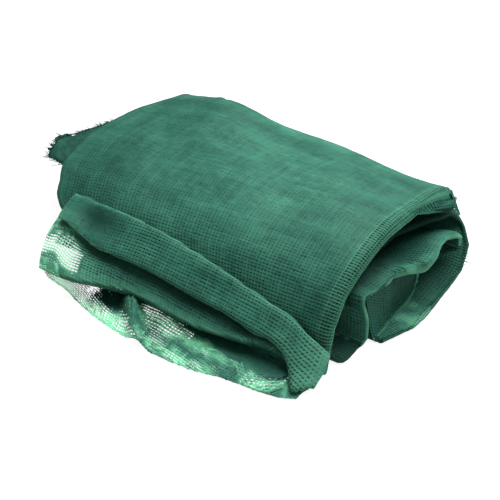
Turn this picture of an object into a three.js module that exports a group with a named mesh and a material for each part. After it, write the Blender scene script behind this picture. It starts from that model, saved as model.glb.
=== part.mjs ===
// A green knitted harvest net, folded into a loose flat pack that lies on the floor.
// The whole net is one strip of cloth. Its section is a run of folds in the Y-Z plane: the loose outer
// end lies on the floor in front, pleats under itself and turns over as a flap, then the strip wraps
// the pack from front to back and goes on back and forth inside it. The folds change along the pack,
// which lies along X, and each fold ends at its own place at the left and the right.

import * as THREE from 'three';

// Driving dimensions, in millimetres. X and Y are measured from the right front foot of the wrap.
const FOLD_THICKNESS = 4;
const TAIL_THICKNESS = 2;
const LIP_LENGTH = 4;
const LIP_ROLL = 9;
const TAIL_LIP = 0.4;
const PACK_LENGTH = 360;
const PACK_HEIGHT = 100;
const PACK_SWELL = 7;
const BACK_SWELL = 15;
const BACK_SWELL_X = -285;
const BACK_SWELL_REACH = 60;
const BACK_SWELL_FROM = 150;
const BACK_SWELL_FULL = 230;
const UNEVENNESS = 1.8;
const RIPPLE_X = 24;
const RIPPLE_Y = 38;
const FLAP_CLEARANCE = 2;
const MIDDLE_X = -199.73;
const MIDDLE_Y = 105.46;

// How finely the strip is cut up.
const STEPS_PER_FOLD = 2;
const STEPS_ALONG = 16;
const LIP_STEPS = [0.1, 0.25, 0.6, 1];

const NET_COLOUR = 0x2f6b59;
const NET_ROUGHNESS = 0.7;

// Turns a compact table into rows with named columns.
function table(columns, values) {
  return values.map((row) => Object.fromEntries(columns.map((name, i) => [name, row[i]])));
}

// The loose end in front, station by station along X: how far its hem reaches out over the floor,
// where the edge of the pleat and the lip of the flap hang, and how high the flap's upper edge lies
// on the pack.
const FRONT = table(['x', 'hem', 'pleatY', 'pleatZ', 'lipY', 'lipZ', 'edgeZ'], [
  [8, -20, -12, 5.5, -18, 4, 19],
  [-4, -38, -13, 5.5, -32, 4, 22.5],
  [-13, -47, -13, 5.5, -40, 4.2, 27],
  [-25, -54, -13, 6, -26, 4.8, 32],
  [-32, -55, -12, 6.5, -16, 9, 35],
  [-39, -56, -10, 7, -11, 15, 38],
  [-47, -57, -9, 9, -8, 22, 40.5],
  [-59, -58, -9, 13, -7, 26.5, 43],
  [-73, -59, -12, 17, -8, 27, 45],
  [-87, -60, -17, 17, -6, 29, 48],
  [-111, -65, -20, 16, -4, 34, 52.5],
  [-138, -68, -23, 16.5, -3, 36.5, 57],
  [-167, -67, -24, 18, -1, 39, 60],
  [-196, -63, -23, 22, 1, 43, 62.5],
  [-226, -58, -20, 23, 2, 45, 65.5],
  [-258, -51, -28, 25, 2, 47, 68],
  [-291, -40, -39, 27, 3, 48.5, 68.5],
  [-312, -32, -42, 28, 8, 51, 68],
  [-332, -28, -41, 28, 11, 58, 67],
  [-345, -27, -40, 28, 13, 60, 66],
  [-400, -25, -36, 28, 14, 61, 65],
]);

// Where each fold of the loose end stops at the right and the left. A turn of the cloth has two rows,
// one where it goes in and one where it comes out.
const TAIL_ENDS = table(['name', 'right', 'left'], [
  ['hem', -14, -340],
  ['apron', -14, -355],
  ['apronRoot', -12, -364],
  ['rootTurnIn', -12, -372],
  ['rootTurnOut', -12, -372],
  ['pleatUnder', -16, -356],
  ['pleatEdgeIn', -22, -337],
  ['pleatEdgeOut', -22, -337],
  ['pleatOver', -16, -353],
  ['pleatTurnIn', -10, -357],
  ['pleatTurnOut', -9, -356],
  ['flapUnder', 0, -350],
  ['flapLipIn', 2, -338],
  ['flapLipOut', 4, -340],
  ['flapFace', 5, -344],
  ['flapEdgeIn', 3, -346],
  ['flapEdgeOut', 1, -348],
  ['flapBackHigh', 1, -350],
  ['flapBackLow', 1, -352],
  ['flapFoot', 1, -358],
]);

// The rolled pack: the place of each fold at the right end, its shift at the left end, where it stops
// at the right and the left, and its lip. A lip curls to the right of the strip's run, or, where it is
// negative, to the left, and a long one hangs down as a curtain over the end of the pack.
const PACK = table(['name', 'y', 'z', 'shiftY', 'shiftZ', 'right', 'left', 'lip'], [
  ['footIn', -1.5, 4, 0, 0, 2, -361, 2],
  ['footOut', 4, 4, 0, 0, 3, -362, 3],
  ['shin', 11, 20, 0, 0, 2, -366, 6],
  ['front', 21, 42, 0, -2, 0, -364, 9],
  ['shoulder', 45, 67, 0, -4, 0, -380, 9],
  ['topFront', 82, 86, 0, -6, 1, -399, 9],
  ['top', 135, 98, 0, -5, 4, -398, 9],
  ['topBack', 190, 97, 4, 1, 6, -380, 9],
  ['backEdge', 236, 91, 12, 8, 10, -358, 9],
  ['backTurnIn', 257, 85, 13, 8, 14, -352, 5],
  ['backTurnOut', 256, 75, 13, 6, 23, -350, 4],
  ['underBack', 236, 77, 12, 4, 25, -360, 3],
  ['underTop', 190, 85, 4, -3, -6, -412, 3],
  ['underFront', 130, 83, 0, -6, -16, -454, 3],
  ['innerTurnIn', 94, 76, 0, -6, -16, -442, 3],
  ['innerTurnOut', 94, 67, 0, -6, -17, -396, 3],
  ['innerFront', 122, 66, 0, -6, -18, -380, 3],
  ['innerMiddle', 175, 67, 2, -6, -14, -372, 3],
  ['innerBack', 235, 63, 10, -2, 14, -356, 4],
  ['backTop', 258, 56, 11, -3, 25, -352, 4],
  ['back', 264, 45, 13, -7, 26, -354, 5],
  ['backFoot', 247, 28, 22, -15, 45, -358, 4],
  ['floorBack', 221, 12, 23, -10, 50, -362, 4],
  ['floor', 180, 2, -5, 0, 46, -368, 4],
  ['floorFront', 112, 2, 0, 0, 43, -370, 4],
  ['floorTurnIn', 72, 2.5, 0, 0, 30, -364, 3],
  ['floorTurnOut', 73, 10.5, 0, 0, 24, -362, 3],
  ['coreFront', 108, 13, 0, 0, 18, -366, 3],
  ['coreRise', 130, 17, 0, 0, 14, -366, 4],
  ['coreWall', 137, 28, 0, 0, 12, -366, 4],
  ['coreTop', 156, 34, 0, 0, 12, -366, 3],
  ['coreMiddle', 190, 31, 0, 0, 12, -360, 3],
  ['coreBack', 214, 28, 14, 0, 20, -354, 2],
  ['coreTurnIn', 231, 33, 17, 0, 40, -351, 1],
  ['coreTurnOut', 232, 42, 16, 0, 46, -350, -3],
  ['bandBack', 215, 48, 12, 0, 42, -352, -6],
  ['bandMiddle', 192, 50, 0, 0, 35, -364, -6],
  ['bandHollow', 164, 43, 0, 2, 28, -370, -6],
  ['bandDip', 150, 46, 0, 0, 23, -372, -26],
  ['bandRise', 112, 57, 0, -4, 16, -376, -36],
  ['bandCrest', 90, 58, 0, -6, 12, -372, -36],
  ['bandTurn', 67, 51, 0, -4, 6, -366, -8],
  ['bandWall', 61, 28, 0, -2, 8, -362, -24],
  ['bandFoot', 59, 9, 0, 0, 10, -360, -6],
  ['heelIn', 51, 2.5, 0, 0, 14, -360, 2],
  ['heelOut', 28, 3, 0, 0, 9, -360, 3],
  ['heelRise', 24, 14, 0, 0, 0, -362, 3],
  ['heelTop', 38, 38, 0, 0, -12, -364, 3],
]);

// The value of one column at any place between the rows, on a smooth curve through them.
function between(rows, key, column, at) {
  const rising = rows[0][key] < rows[rows.length - 1][key];
  let i = 0;
  while (i < rows.length - 2 && (rising ? rows[i + 1][key] < at : rows[i + 1][key] > at)) {
    i += 1;
  }
  const slope = (k) => {
    const before = rows[Math.max(k - 1, 0)];
    const after = rows[Math.min(k + 1, rows.length - 1)];
    return (after[column] - before[column]) / (after[key] - before[key]);
  };
  const [a, b] = [rows[i], rows[i + 1]];
  const span = b[key] - a[key];
  const f = THREE.MathUtils.clamp((at - a[key]) / span, 0, 1);
  const [f2, f3] = [f * f, f * f * f];
  return (2 * f3 - 3 * f2 + 1) * a[column] + (f3 - 2 * f2 + f) * span * slope(i)
    + (3 * f2 - 2 * f3) * b[column] + (f3 - f2) * span * slope(i + 1);
}

// The place of a fold of the pack at one station along X. The higher it lies, the more it swells in
// the middle of the pack and the more uneven it is.
function packFold(fold, x) {
  const leftward = THREE.MathUtils.clamp(-x / PACK_LENGTH, 0, 1.1);
  const height = fold.z / PACK_HEIGHT;
  const atBack = THREE.MathUtils.smoothstep(fold.y, BACK_SWELL_FROM, BACK_SWELL_FULL);
  const nearLeft = Math.exp(-(((x - BACK_SWELL_X) / BACK_SWELL_REACH) ** 2));
  const swell = PACK_SWELL * Math.sin(Math.PI * Math.min(leftward, 1)) + BACK_SWELL * atBack * nearLeft;
  const ripple = UNEVENNESS * Math.sin(x / RIPPLE_X + fold.y / RIPPLE_Y);
  return {
    y: fold.y + fold.shiftY * leftward + height * UNEVENNESS * Math.sin(x / RIPPLE_Y),
    z: fold.z + fold.shiftZ * leftward + height * (swell + ripple),
  };
}

// A place outside the wrap's front, above a given height of it and a given distance off it.
const WRAP_FRONT = ['footOut', 'shin', 'front', 'shoulder', 'topFront'];
const wrapFront = PACK.filter((fold) => WRAP_FRONT.includes(fold.name));

function offFront(x, z, distance) {
  const profile = wrapFront.map((fold) => packFold(fold, x));
  const y = between(profile, 'z', 'y', z);
  const lean = between(profile, 'z', 'y', z + 1) - y;
  const length = Math.hypot(lean, 1);
  return { y: y - distance / length, z: z + distance * lean / length };
}

// The places of the loose end's folds at one station along X, by name.
function tailFolds(x) {
  const at = (column) => between(FRONT, 'x', column, x);
  const [hem, pleatY, pleatZ] = [at('hem'), at('pleatY'), at('pleatZ')];
  const [lipY, lipZ, edgeZ] = [at('lipY'), at('lipZ'), at('edgeZ')];
  const floor = TAIL_THICKNESS / 2;
  const ply = TAIL_THICKNESS + FLAP_CLEARANCE;
  const behind = (FOLD_THICKNESS + TAIL_THICKNESS) / 2 + FLAP_CLEARANCE;
  const root = offFront(x, ply, behind).y - 1.3 * ply;
  const foldZ = Math.max(lipZ - 2.2 * ply, pleatZ + 0.8 * ply);
  const turnIn = offFront(x, foldZ - 0.2 * ply, behind + 1.3 * ply);
  const turnOut = offFront(x, foldZ + ply, behind + 1.3 * ply);
  const sag = 0.8 * Math.max(turnOut.z - lipZ - 1.5 * ply, 0);
  const footZ = Math.max(0.34 * edgeZ, 2.1 * ply);
  const edge = offFront(x, edgeZ, behind);
  const edgeOut = offFront(x, edgeZ - 0.4 * ply, behind + ply);
  return {
    hem: { y: hem, z: floor },
    apron: { y: 0.6 * hem + 0.4 * root, z: floor },
    apronRoot: { y: 0.25 * hem + 0.75 * root, z: floor },
    rootTurnIn: { y: root, z: floor + 0.1 * ply },
    rootTurnOut: { y: root, z: floor + ply },
    pleatUnder: {
      y: 0.5 * (root + pleatY),
      z: floor + ply + 0.35 * (pleatZ - 1.4 * ply - floor),
    },
    pleatEdgeIn: { y: pleatY, z: pleatZ - 0.4 * ply },
    pleatEdgeOut: { y: pleatY, z: pleatZ + 0.5 * ply },
    pleatOver: { y: 0.5 * (turnIn.y + pleatY), z: 0.5 * (pleatZ + turnIn.z + 1.2 * ply) },
    pleatTurnIn: turnIn,
    pleatTurnOut: turnOut,
    flapUnder: {
      y: 0.45 * turnOut.y + 0.55 * lipY,
      z: Math.max(lipZ, turnOut.z - sag) - 0.1 * ply,
    },
    flapLipIn: { y: lipY - 0.7 * ply, z: lipZ - 0.05 * ply },
    flapLipOut: { y: lipY - 1.3 * ply, z: lipZ + 0.75 * ply },
    flapFace: {
      y: 0.5 * (lipY + edgeOut.y) - 1.2 * ply,
      z: 0.5 * (lipZ + edgeOut.z) + 1.2 * ply,
    },
    flapEdgeIn: { y: edgeOut.y, z: edgeOut.z },
    flapEdgeOut: { y: edge.y, z: edge.z },
    flapBackHigh: offFront(x, (2 * edgeZ + footZ) / 3, behind),
    flapBackLow: offFront(x, (edgeZ + 2 * footZ) / 3, behind),
    flapFoot: offFront(x, footZ, behind),
  };
}

// Every fold of the strip in order, with its ends, lip and thickness.
const FOLDS = [
  ...TAIL_ENDS.map((fold) => ({ ...fold, lip: TAIL_LIP, thickness: TAIL_THICKNESS })),
  ...PACK.map((fold) => ({ ...fold, thickness: FOLD_THICKNESS })),
];

// The place of a fold by its number in the strip, run on in a straight line past either end.
function foldPlace(k, x) {
  if (k < 0) {
    const [a, b] = [foldPlace(0, x), foldPlace(1, x)];
    return { y: 2 * a.y - b.y, z: 2 * a.z - b.z };
  }
  if (k >= FOLDS.length) {
    const [a, b] = [foldPlace(FOLDS.length - 1, x), foldPlace(FOLDS.length - 2, x)];
    return { y: 2 * a.y - b.y, z: 2 * a.z - b.z };
  }
  return k < TAIL_ENDS.length ? tailFolds(x)[FOLDS[k].name] : packFold(FOLDS[k], x);
}

// The middle of the strip at a place s along its folds and x along the pack, with its direction there.
function section(s, x) {
  const k = Math.min(Math.floor(s), FOLDS.length - 2);
  const points = [-1, 0, 1, 2].map((step) => {
    const place = foldPlace(k + step, x);
    return new THREE.Vector3(0, place.y, place.z);
  });
  const curve = new THREE.CatmullRomCurve3(points, false, 'centripetal');
  const t = (1 + s - k) / 3;
  return { point: curve.getPoint(t), run: curve.getTangent(t) };
}

// A column of the folds at a place s between two of them.
function foldValue(s, column) {
  const k = Math.min(Math.floor(s), FOLDS.length - 2);
  return THREE.MathUtils.lerp(FOLDS[k][column], FOLDS[k + 1][column], s - k);
}

// One point on the middle of the lip: how far it goes on along X, how far it curls aside, and its turn.
function lipPlace(lip, step) {
  const length = Math.max(Math.abs(lip), LIP_LENGTH);
  const roll = Math.min(length, LIP_ROLL);
  const bend = 0.5 * Math.PI * THREE.MathUtils.clamp(lip / LIP_LENGTH, -1, 1);
  const radius = roll / Math.max(Math.abs(bend), 0.01);
  const gone = step * length;
  const turn = Math.min(gone / radius, Math.abs(bend));
  const straight = Math.max(gone - roll, 0);
  const along = radius * Math.sin(turn) + straight * Math.cos(turn);
  const aside = radius * (1 - Math.cos(turn)) + straight * Math.sin(turn);
  return { along, aside: Math.sign(bend) * aside, turn: Math.sign(bend) * turn };
}

// The two sides of the strip at one place: columns 0 to STEPS_ALONG run from left to right, and the
// columns after them go round the lip.
function sides(s, column) {
  const right = foldValue(s, 'right');
  const left = foldValue(s, 'left');
  const half = foldValue(s, 'thickness') / 2;
  const onLip = column > STEPS_ALONG;
  const x = onLip ? right : THREE.MathUtils.lerp(left, right, column / STEPS_ALONG);
  const { point, run } = section(s, x);
  const across = new THREE.Vector3(0, -run.z, run.y);
  const lip = onLip
    ? lipPlace(foldValue(s, 'lip'), LIP_STEPS[column - STEPS_ALONG - 1])
    : { along: 0, aside: 0, turn: 0 };
  const middle = point.setX(x + lip.along).addScaledVector(across, -lip.aside);
  const normal = across.multiplyScalar(Math.cos(lip.turn)).setX(Math.sin(lip.turn));
  return [1, -1].map((side) => {
    const place = middle.clone().addScaledVector(normal, side * half);
    return place.set(place.x - MIDDLE_X, place.y - MIDDLE_Y, Math.max(place.z, 0));
  });
}

// The closed skin of the strip: both sides as grids, joined by a rim round all four edges.
function stripGeometry() {
  const rows = (FOLDS.length - 1) * STEPS_PER_FOLD + 1;
  const columns = STEPS_ALONG + 1 + LIP_STEPS.length;
  const positions = [];
  const triangles = [];
  const index = (side, i, j) => 2 * (i * columns + j) + side;
  const quad = (a, b, c, d) => triangles.push(a, b, c, a, c, d);

  for (let i = 0; i < rows; i += 1) {
    for (let j = 0; j < columns; j += 1) {
      sides(i / STEPS_PER_FOLD, j).forEach((place) => positions.push(place.x, place.y, place.z));
    }
  }
  for (let i = 0; i < rows - 1; i += 1) {
    for (let j = 0; j < columns - 1; j += 1) {
      quad(index(0, i, j), index(0, i, j + 1), index(0, i + 1, j + 1), index(0, i + 1, j));
      quad(index(1, i, j), index(1, i + 1, j), index(1, i + 1, j + 1), index(1, i, j + 1));
    }
    quad(index(0, i, 0), index(0, i + 1, 0), index(1, i + 1, 0), index(1, i, 0));
    const end = columns - 1;
    quad(index(1, i, end), index(1, i + 1, end), index(0, i + 1, end), index(0, i, end));
  }
  for (let j = 0; j < columns - 1; j += 1) {
    quad(index(1, 0, j), index(1, 0, j + 1), index(0, 0, j + 1), index(0, 0, j));
    const last = rows - 1;
    quad(index(0, last, j), index(0, last, j + 1), index(1, last, j + 1), index(1, last, j));
  }
  const geometry = new THREE.BufferGeometry();
  geometry.setAttribute('position', new THREE.Float32BufferAttribute(positions, 3));
  geometry.setIndex(triangles);
  geometry.computeVertexNormals();
  return geometry;
}

const material = new THREE.MeshStandardMaterial({
  color: NET_COLOUR,
  roughness: NET_ROUGHNESS,
  metalness: 0,
});
const net = new THREE.Mesh(stripGeometry(), material);
net.name = 'net';

const pack = new THREE.Group();
pack.add(net);

export default pack;
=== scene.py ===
import math

import bpy
import numpy as np
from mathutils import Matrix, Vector


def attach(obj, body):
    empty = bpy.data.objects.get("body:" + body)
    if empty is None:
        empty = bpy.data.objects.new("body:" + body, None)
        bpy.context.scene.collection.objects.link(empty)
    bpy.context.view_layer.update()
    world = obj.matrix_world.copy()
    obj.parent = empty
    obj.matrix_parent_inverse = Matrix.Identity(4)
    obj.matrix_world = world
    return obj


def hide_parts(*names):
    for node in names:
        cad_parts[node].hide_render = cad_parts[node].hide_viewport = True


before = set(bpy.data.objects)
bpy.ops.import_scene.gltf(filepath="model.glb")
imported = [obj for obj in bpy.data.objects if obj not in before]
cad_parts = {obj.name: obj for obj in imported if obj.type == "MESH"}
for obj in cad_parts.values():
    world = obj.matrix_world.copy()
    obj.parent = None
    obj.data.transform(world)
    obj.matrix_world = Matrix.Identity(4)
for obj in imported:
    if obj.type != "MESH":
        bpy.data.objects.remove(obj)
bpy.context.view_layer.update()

# Camera
# A long lens looks down on the pack from its right front, with the pack's open end to the right.
# The whole pack stands a little above the middle of a square picture.
CAMERA_AZIMUTH = math.radians(32.0)
CAMERA_ELEVATION = math.radians(36.0)
CAMERA_DISTANCE = 1.15
CAMERA_LENS = 75.27
CAMERA_SENSOR = 36.0
CAMERA_TARGET = Vector((0.05493, -0.01636, 0.045))

camera_back = Vector((
    math.sin(CAMERA_AZIMUTH) * math.cos(CAMERA_ELEVATION),
    -math.cos(CAMERA_AZIMUTH) * math.cos(CAMERA_ELEVATION),
    math.sin(CAMERA_ELEVATION),
))
camera_data = bpy.data.cameras.new("camera")
camera_data.lens = CAMERA_LENS
camera_data.sensor_width = CAMERA_SENSOR
camera = bpy.data.objects.new("camera", camera_data)
camera.location = CAMERA_TARGET + CAMERA_DISTANCE * camera_back
camera.rotation_euler = camera_back.to_track_quat("Z", "Y").to_euler()
bpy.context.scene.collection.objects.link(camera)
bpy.context.scene.camera = camera

# Core of the pack
# The innermost folds of the net, a flat loop of knitted polyethylene mesh that lies on the lowest ply.
# It is part of the one strip of cloth, and only its right end shows, low in the open end of the pack.
MM = 0.001

# The fold tables count mm from near the pack's right front corner. The frame's origin lies here in them.
MIDDLE_X = -199.73
MIDDLE_Y = 105.46

PACK_LENGTH = 360.0
PACK_LEFTMOST = 1.1
PACK_HEIGHT = 100.0
PACK_SWELL = 7.0
BACK_SWELL = 15.0
BACK_SWELL_X = -285.0
BACK_SWELL_REACH = 60.0
BACK_SWELL_FROM = 150.0
BACK_SWELL_FULL = 230.0
UNEVENNESS = 1.8
RIPPLE_X = 24.0
RIPPLE_Y = 38.0
PLY_GAP = 4.0
LIP_LENGTH = 4.0
LIP_ROLL = 12.0
CAP_TURNS = (0.33, 0.67)
PITCH_ALONG = 4.0
PITCH_ACROSS = 3.75
LOWEST_YARN = 0.9
NOISE_CELLS = 64
WAVE_SIZE = (55.0, 42.0)
WRINKLE_SIZE = (19.0, 24.0)
COLUMN_STREAK = (9.0, 46.0)
ROW_STREAK = (60.0, 12.0)
STREAK_DEPTH = 0.16
STREAK_LEAST = -0.6
FINE_STEPS = 12
SMALLEST_OPENING = 0.08
WIDEST_OPENING = 0.82
OPENING_STRETCH = 3.2
OPENING_UNEVENNESS = 0.2
DROPPED = 1.0
YARN_RELIEF = 0.0007
YARN_STEPS = 4
YARN_WIDTH = 0.9
YARN_SHORTEST = 0.3
YARN_WANDER = 0.35
YARN_TAPER = 0.5
PAINTED_GLOW_GREEN = (0.26, 0.76, 0.46, 1.0)
PAINTED_SHADE_GREEN = (0.007, 0.040, 0.029, 1.0)
DEEP_LEFT = -310.0
DEEP_RIGHT = -75.0

# Each piece carries a tone of painted light and shade: above 0 the yarn gets a painted glow, like a ply lit
# through where it lies alone, and below 0 painted shade, like the deep folds.
CORE_SEED = 10
CORE_OPENING = 0.46
CORE_PAINTED_SHADE = -0.5
CORE_CLOSED_PAINTED_SHADE = -1.0

PACK_COLUMNS = "name y z shift_y shift_z right left lip"
CORE_FOLDS = [
    ("floorTurnIn", 72, 2.5, 0, 0, 24, -364, 3),
    ("floorTurnOut", 73, 10.5, 0, 0, 6, -362, 3),
    ("coreFront", 108, 13, 0, 0, 6, -366, 3),
    ("coreRise", 130, 17, 0, 0, 6, -366, 4),
    ("coreWall", 137, 28, 0, 0, 6, -366, 4),
    ("coreTop", 156, 34, 0, 0, 8, -366, 3),
    ("coreMiddle", 190, 31, 0, 0, 12, -360, 3),
    ("coreBack", 214, 28, 14, 0, 20, -354, 2),
    ("coreTurnIn", 231, 33, 17, 0, 40, -351, 1),
]


def table(columns, rows):
    # The columns of a table by their names.
    return dict(zip(columns.split(), (np.array(column) for column in zip(*rows))))


def eased(share):
    # A share from 0 to 1 that starts and ends softly.
    return share * share * (3.0 - 2.0 * share)


def rise(values, start, reach):
    # 0 at the start, rising evenly to 1 over the reach, towards lower values where the reach is negative.
    return np.clip((values - start) / reach, 0.0, 1.0)


def hump(values, middle, reach):
    # 1 at the middle, falling softly to almost nothing at twice the reach to either side.
    return np.exp(-(((values - middle) / reach) ** 2))


def among(values, limits):
    # Which values lie between two limits.
    return (values > limits[0]) & (values < limits[1])


def soft_noise(u, v, size, seed):
    # Smooth unevenness between -1 and 1, in patches of a given size along and across the cloth.
    lattice = np.random.default_rng(seed).uniform(-1.0, 1.0, (NOISE_CELLS, NOISE_CELLS))
    u = u / size[0]
    v = v / size[1]
    i = np.floor(u).astype(int)
    j = np.floor(v).astype(int)
    f = eased(u - i)
    g = eased(v - j)

    def corner(di, dj):
        return lattice[(i + di) % NOISE_CELLS, (j + dj) % NOISE_CELLS]

    near = corner(0, 0) * (1.0 - f) + corner(1, 0) * f
    far = corner(0, 1) * (1.0 - f) + corner(1, 1) * f
    return near * (1.0 - g) + far * g


def pack_place(folds):
    # The place (y, z) of the pack's folds at stations x: the higher a fold lies, the more it swells.
    def place(k, x):
        y = folds["y"][k]
        leftward = np.clip(-x / PACK_LENGTH, 0.0, PACK_LEFTMOST)
        height = folds["z"][k] / PACK_HEIGHT
        at_back = eased(rise(y, BACK_SWELL_FROM, BACK_SWELL_FULL - BACK_SWELL_FROM))
        near_left = hump(x, BACK_SWELL_X, BACK_SWELL_REACH)
        swell = PACK_SWELL * np.sin(np.pi * np.minimum(leftward, 1.0)) + BACK_SWELL * at_back * near_left
        ripple = UNEVENNESS * np.sin(x / RIPPLE_X + y / RIPPLE_Y)
        return np.stack([
            y + folds["shift_y"][k] * leftward + height * UNEVENNESS * np.sin(x / RIPPLE_Y),
            folds["z"][k] + folds["shift_z"][k] * leftward + height * (swell + ripple),
        ], -1)
    return place


def blend(f, start, leave, end, arrive):
    # A smooth way from a start to an end, at a share f of it, with a given run at either end.
    f2 = f * f
    f3 = f2 * f
    return (
        (2 * f3 - 3 * f2 + 1) * start + (f3 - 2 * f2 + f) * leave
        + (3 * f2 - 2 * f3) * end + (f3 - f2) * arrive
    )


def fold_curve(place, count, s, x):
    # The smooth section through the folds at s folds along it, straight on past either end.
    k = np.clip(np.floor(s).astype(int), 0, count - 2)
    f = (s - k)[..., None]

    def wide(fold):
        inside = place(np.clip(fold, 0, count - 1), x)
        nearer = place(np.clip(fold, 1, count - 2), x)
        outside = (fold < 0) | (fold > count - 1)
        return np.where(outside[..., None], 2.0 * inside - nearer, inside)

    before, start, end, after = (wide(k + step) for step in (-1, 0, 1, 2))

    def knot(a, b):
        return np.maximum(np.sqrt(np.linalg.norm(b - a, axis=-1)), 1e-6)[..., None]

    d0 = knot(before, start)
    d1 = knot(start, end)
    d2 = knot(end, after)
    leave = d1 * ((start - before) / d0 - (end - before) / (d0 + d1) + (end - start) / d1)
    arrive = d1 * ((end - start) / d1 - (after - start) / (d1 + d2) + (after - end) / d2)
    return blend(f, start, leave, end, arrive)


def row_places(place, left, right, columns, aligned=None, slant=0.0, spread=None):
    # Where the rows of the knit lie along the section, equally spaced in every column of the sheet,
    # or counted from one fold, across which they may run at a slant and spread apart.
    count = len(left)
    fine = np.linspace(0.0, count - 1.0, FINE_STEPS * (count - 1) + 1)
    share = np.arange(columns + 1) / columns
    number = np.arange(count)
    ends = [np.interp(fine, number, end)[:, None] for end in (left, right)]
    x = ends[0] + (ends[1] - ends[0]) * share
    yz = fold_curve(place, count, np.broadcast_to(fine[:, None], x.shape), x)
    steps = np.linalg.norm(np.diff(np.concatenate([x[..., None], yz], -1), axis=0), axis=-1)
    gone = np.concatenate([np.zeros((1, columns + 1)), np.cumsum(steps, axis=0)])
    rows = round(float(gone[-1].mean()) / PITCH_ACROSS)
    wanted = np.arange(rows + 1)[:, None] / rows * gone[-1]
    if aligned is not None:
        fold = aligned * FINE_STEPS
        start = gone[fold] + slant * (x[fold] - x[fold].mean())
        first = math.floor(-start.max() / PITCH_ACROSS)
        last = math.ceil((gone[-1] - start).max() / PITCH_ACROSS)
        from_fold = PITCH_ACROSS * np.arange(first, last + 1)[:, None] * spread(x[fold])
        wanted = np.clip(start + from_fold, 0.0, gone[-1])
    return np.stack([np.interp(wanted[:, j], gone[:, j], fine) for j in range(columns + 1)], 1)


def lip_place(lip, step):
    # The middle of the lip: how far it goes on along X, how far it curls aside, and its turn.
    length = np.maximum(np.abs(lip), LIP_LENGTH)
    roll = np.minimum(length, LIP_ROLL)
    bend = 0.5 * np.pi * np.clip(lip / LIP_LENGTH, -1.0, 1.0)
    radius = roll / np.maximum(np.abs(bend), 0.01)
    gone = step * length
    turn = np.minimum(gone / radius, np.abs(bend))
    straight = np.maximum(gone - roll, 0.0)
    along = radius * np.sin(turn) + straight * np.cos(turn)
    aside = radius * (1.0 - np.cos(turn)) + straight * np.sin(turn)
    return along, np.sign(bend) * aside, np.sign(bend) * turn


def folded_ply(place, folds, lip_columns, turned_in):
    # One sheet that runs along X on the outer side of its fold, round the lip at the right end and
    # back on the inner side for a number of columns. Gives its points in mm, which are inside, and how
    # far round the lip each lies.
    count = len(folds["right"])
    number = np.arange(count)
    steps = round(float(np.mean(folds["right"] - folds["left"])) / PITCH_ALONG)
    outer_s = row_places(place, folds["left"], folds["right"], steps)
    back = min(turned_in, steps + 1)
    outward = np.arange(steps + 1)
    on_lip = np.arange(1, lip_columns + 1) / lip_columns
    cap = np.array(CAP_TURNS) * np.pi
    start = cap[::-1] if turned_in > steps else cap[:0]
    side = np.concatenate([
        np.cos(start), np.ones(steps + 1 + lip_columns), np.cos(cap), -np.ones(lip_columns + back),
    ])
    beyond = np.concatenate([
        -np.sin(start), np.zeros(steps + 1 + lip_columns), np.sin(cap), np.zeros(lip_columns + back),
    ])
    column = np.concatenate([
        np.zeros(len(start), int), outward, np.full(2 * lip_columns + 2, steps), outward[::-1][:back],
    ])
    step = np.concatenate([
        np.zeros(len(start) + steps + 1), on_lip, np.ones(2), on_lip[::-1], np.zeros(back),
    ])
    s = outer_s[:, column]
    right = np.interp(s, number, folds["right"])
    left = np.interp(s, number, folds["left"])
    lip = np.interp(s, number, folds["lip"])
    x = left + (right - left) * column / steps
    middle = fold_curve(place, count, s, x)
    tiny = 1e-3
    run = fold_curve(place, count, s + tiny, x) - fold_curve(place, count, s - tiny, x)
    run /= np.linalg.norm(run, axis=-1, keepdims=True)
    along, aside, turn = lip_place(lip, step)
    half = 0.5 * PLY_GAP
    off = side * half * np.cos(turn) - aside - beyond * half * np.sin(turn)
    out = along + side * half * np.sin(turn) + beyond * half * np.cos(turn)
    points = np.stack([
        x + out, middle[..., 0] - run[..., 1] * off, middle[..., 1] + run[..., 0] * off,
    ], -1)
    return points, np.broadcast_to(side < 1.0, x.shape), np.broadcast_to(step, x.shape)


def flat_sizes(points):
    # How far along and across the flat cloth each knot lies, from the mean length of its columns and rows.
    along = np.linalg.norm(np.diff(points, axis=1), axis=2).mean(axis=0)
    across = np.linalg.norm(np.diff(points, axis=0), axis=2).mean(axis=1)
    u = np.concatenate([[0.0], np.cumsum(along)])
    v = np.concatenate([[0.0], np.cumsum(across)])
    return np.meshgrid(u, v)


def sheet_normals(points):
    # The cloth's normal at every knot.
    normal = np.cross(np.gradient(points, axis=1), np.gradient(points, axis=0))
    return normal / (np.linalg.norm(normal, axis=-1, keepdims=True) + 1e-9)


def uneven(points, u, v, seed, wave, wrinkle, jitter):
    # Soft waves and wrinkles along the cloth's normal, and knots a little out of their places.
    lift = wave * soft_noise(u, v, WAVE_SIZE, seed)
    lift = lift + wrinkle * soft_noise(u, v, WRINKLE_SIZE, seed + 1)
    shaken = np.random.default_rng(seed + 2).normal(0.0, jitter, points.shape)
    points = points + sheet_normals(points) * lift[..., None] + shaken
    points[..., 2] = np.maximum(points[..., 2], LOWEST_YARN)
    return points


def openings(u, v, seed, share):
    # The share of each face that is open: smaller in streaks, where a ply behind fills the holes.
    streaks = soft_noise(u, v, COLUMN_STREAK, seed + 3) + soft_noise(u, v, ROW_STREAK, seed + 4)
    return share * (1.0 - STREAK_DEPTH * np.clip(streaks, STREAK_LEAST, 1.0))


def deep_inside(points):
    # The cloth that no view reaches, far from both ends of the pack: its knit is left closed.
    return among(points[..., 0], (DEEP_LEFT, DEEP_RIGHT))


def math_node(tree, operation, a, b):
    # Works on two values, each a number or the output of another node.
    node = tree.nodes.new("ShaderNodeMath")
    node.operation = operation
    for socket, value in zip(node.inputs, (a, b)):
        if isinstance(value, (int, float)):
            socket.default_value = value
        else:
            tree.links.new(value, socket)
    return node.outputs[0]


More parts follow.
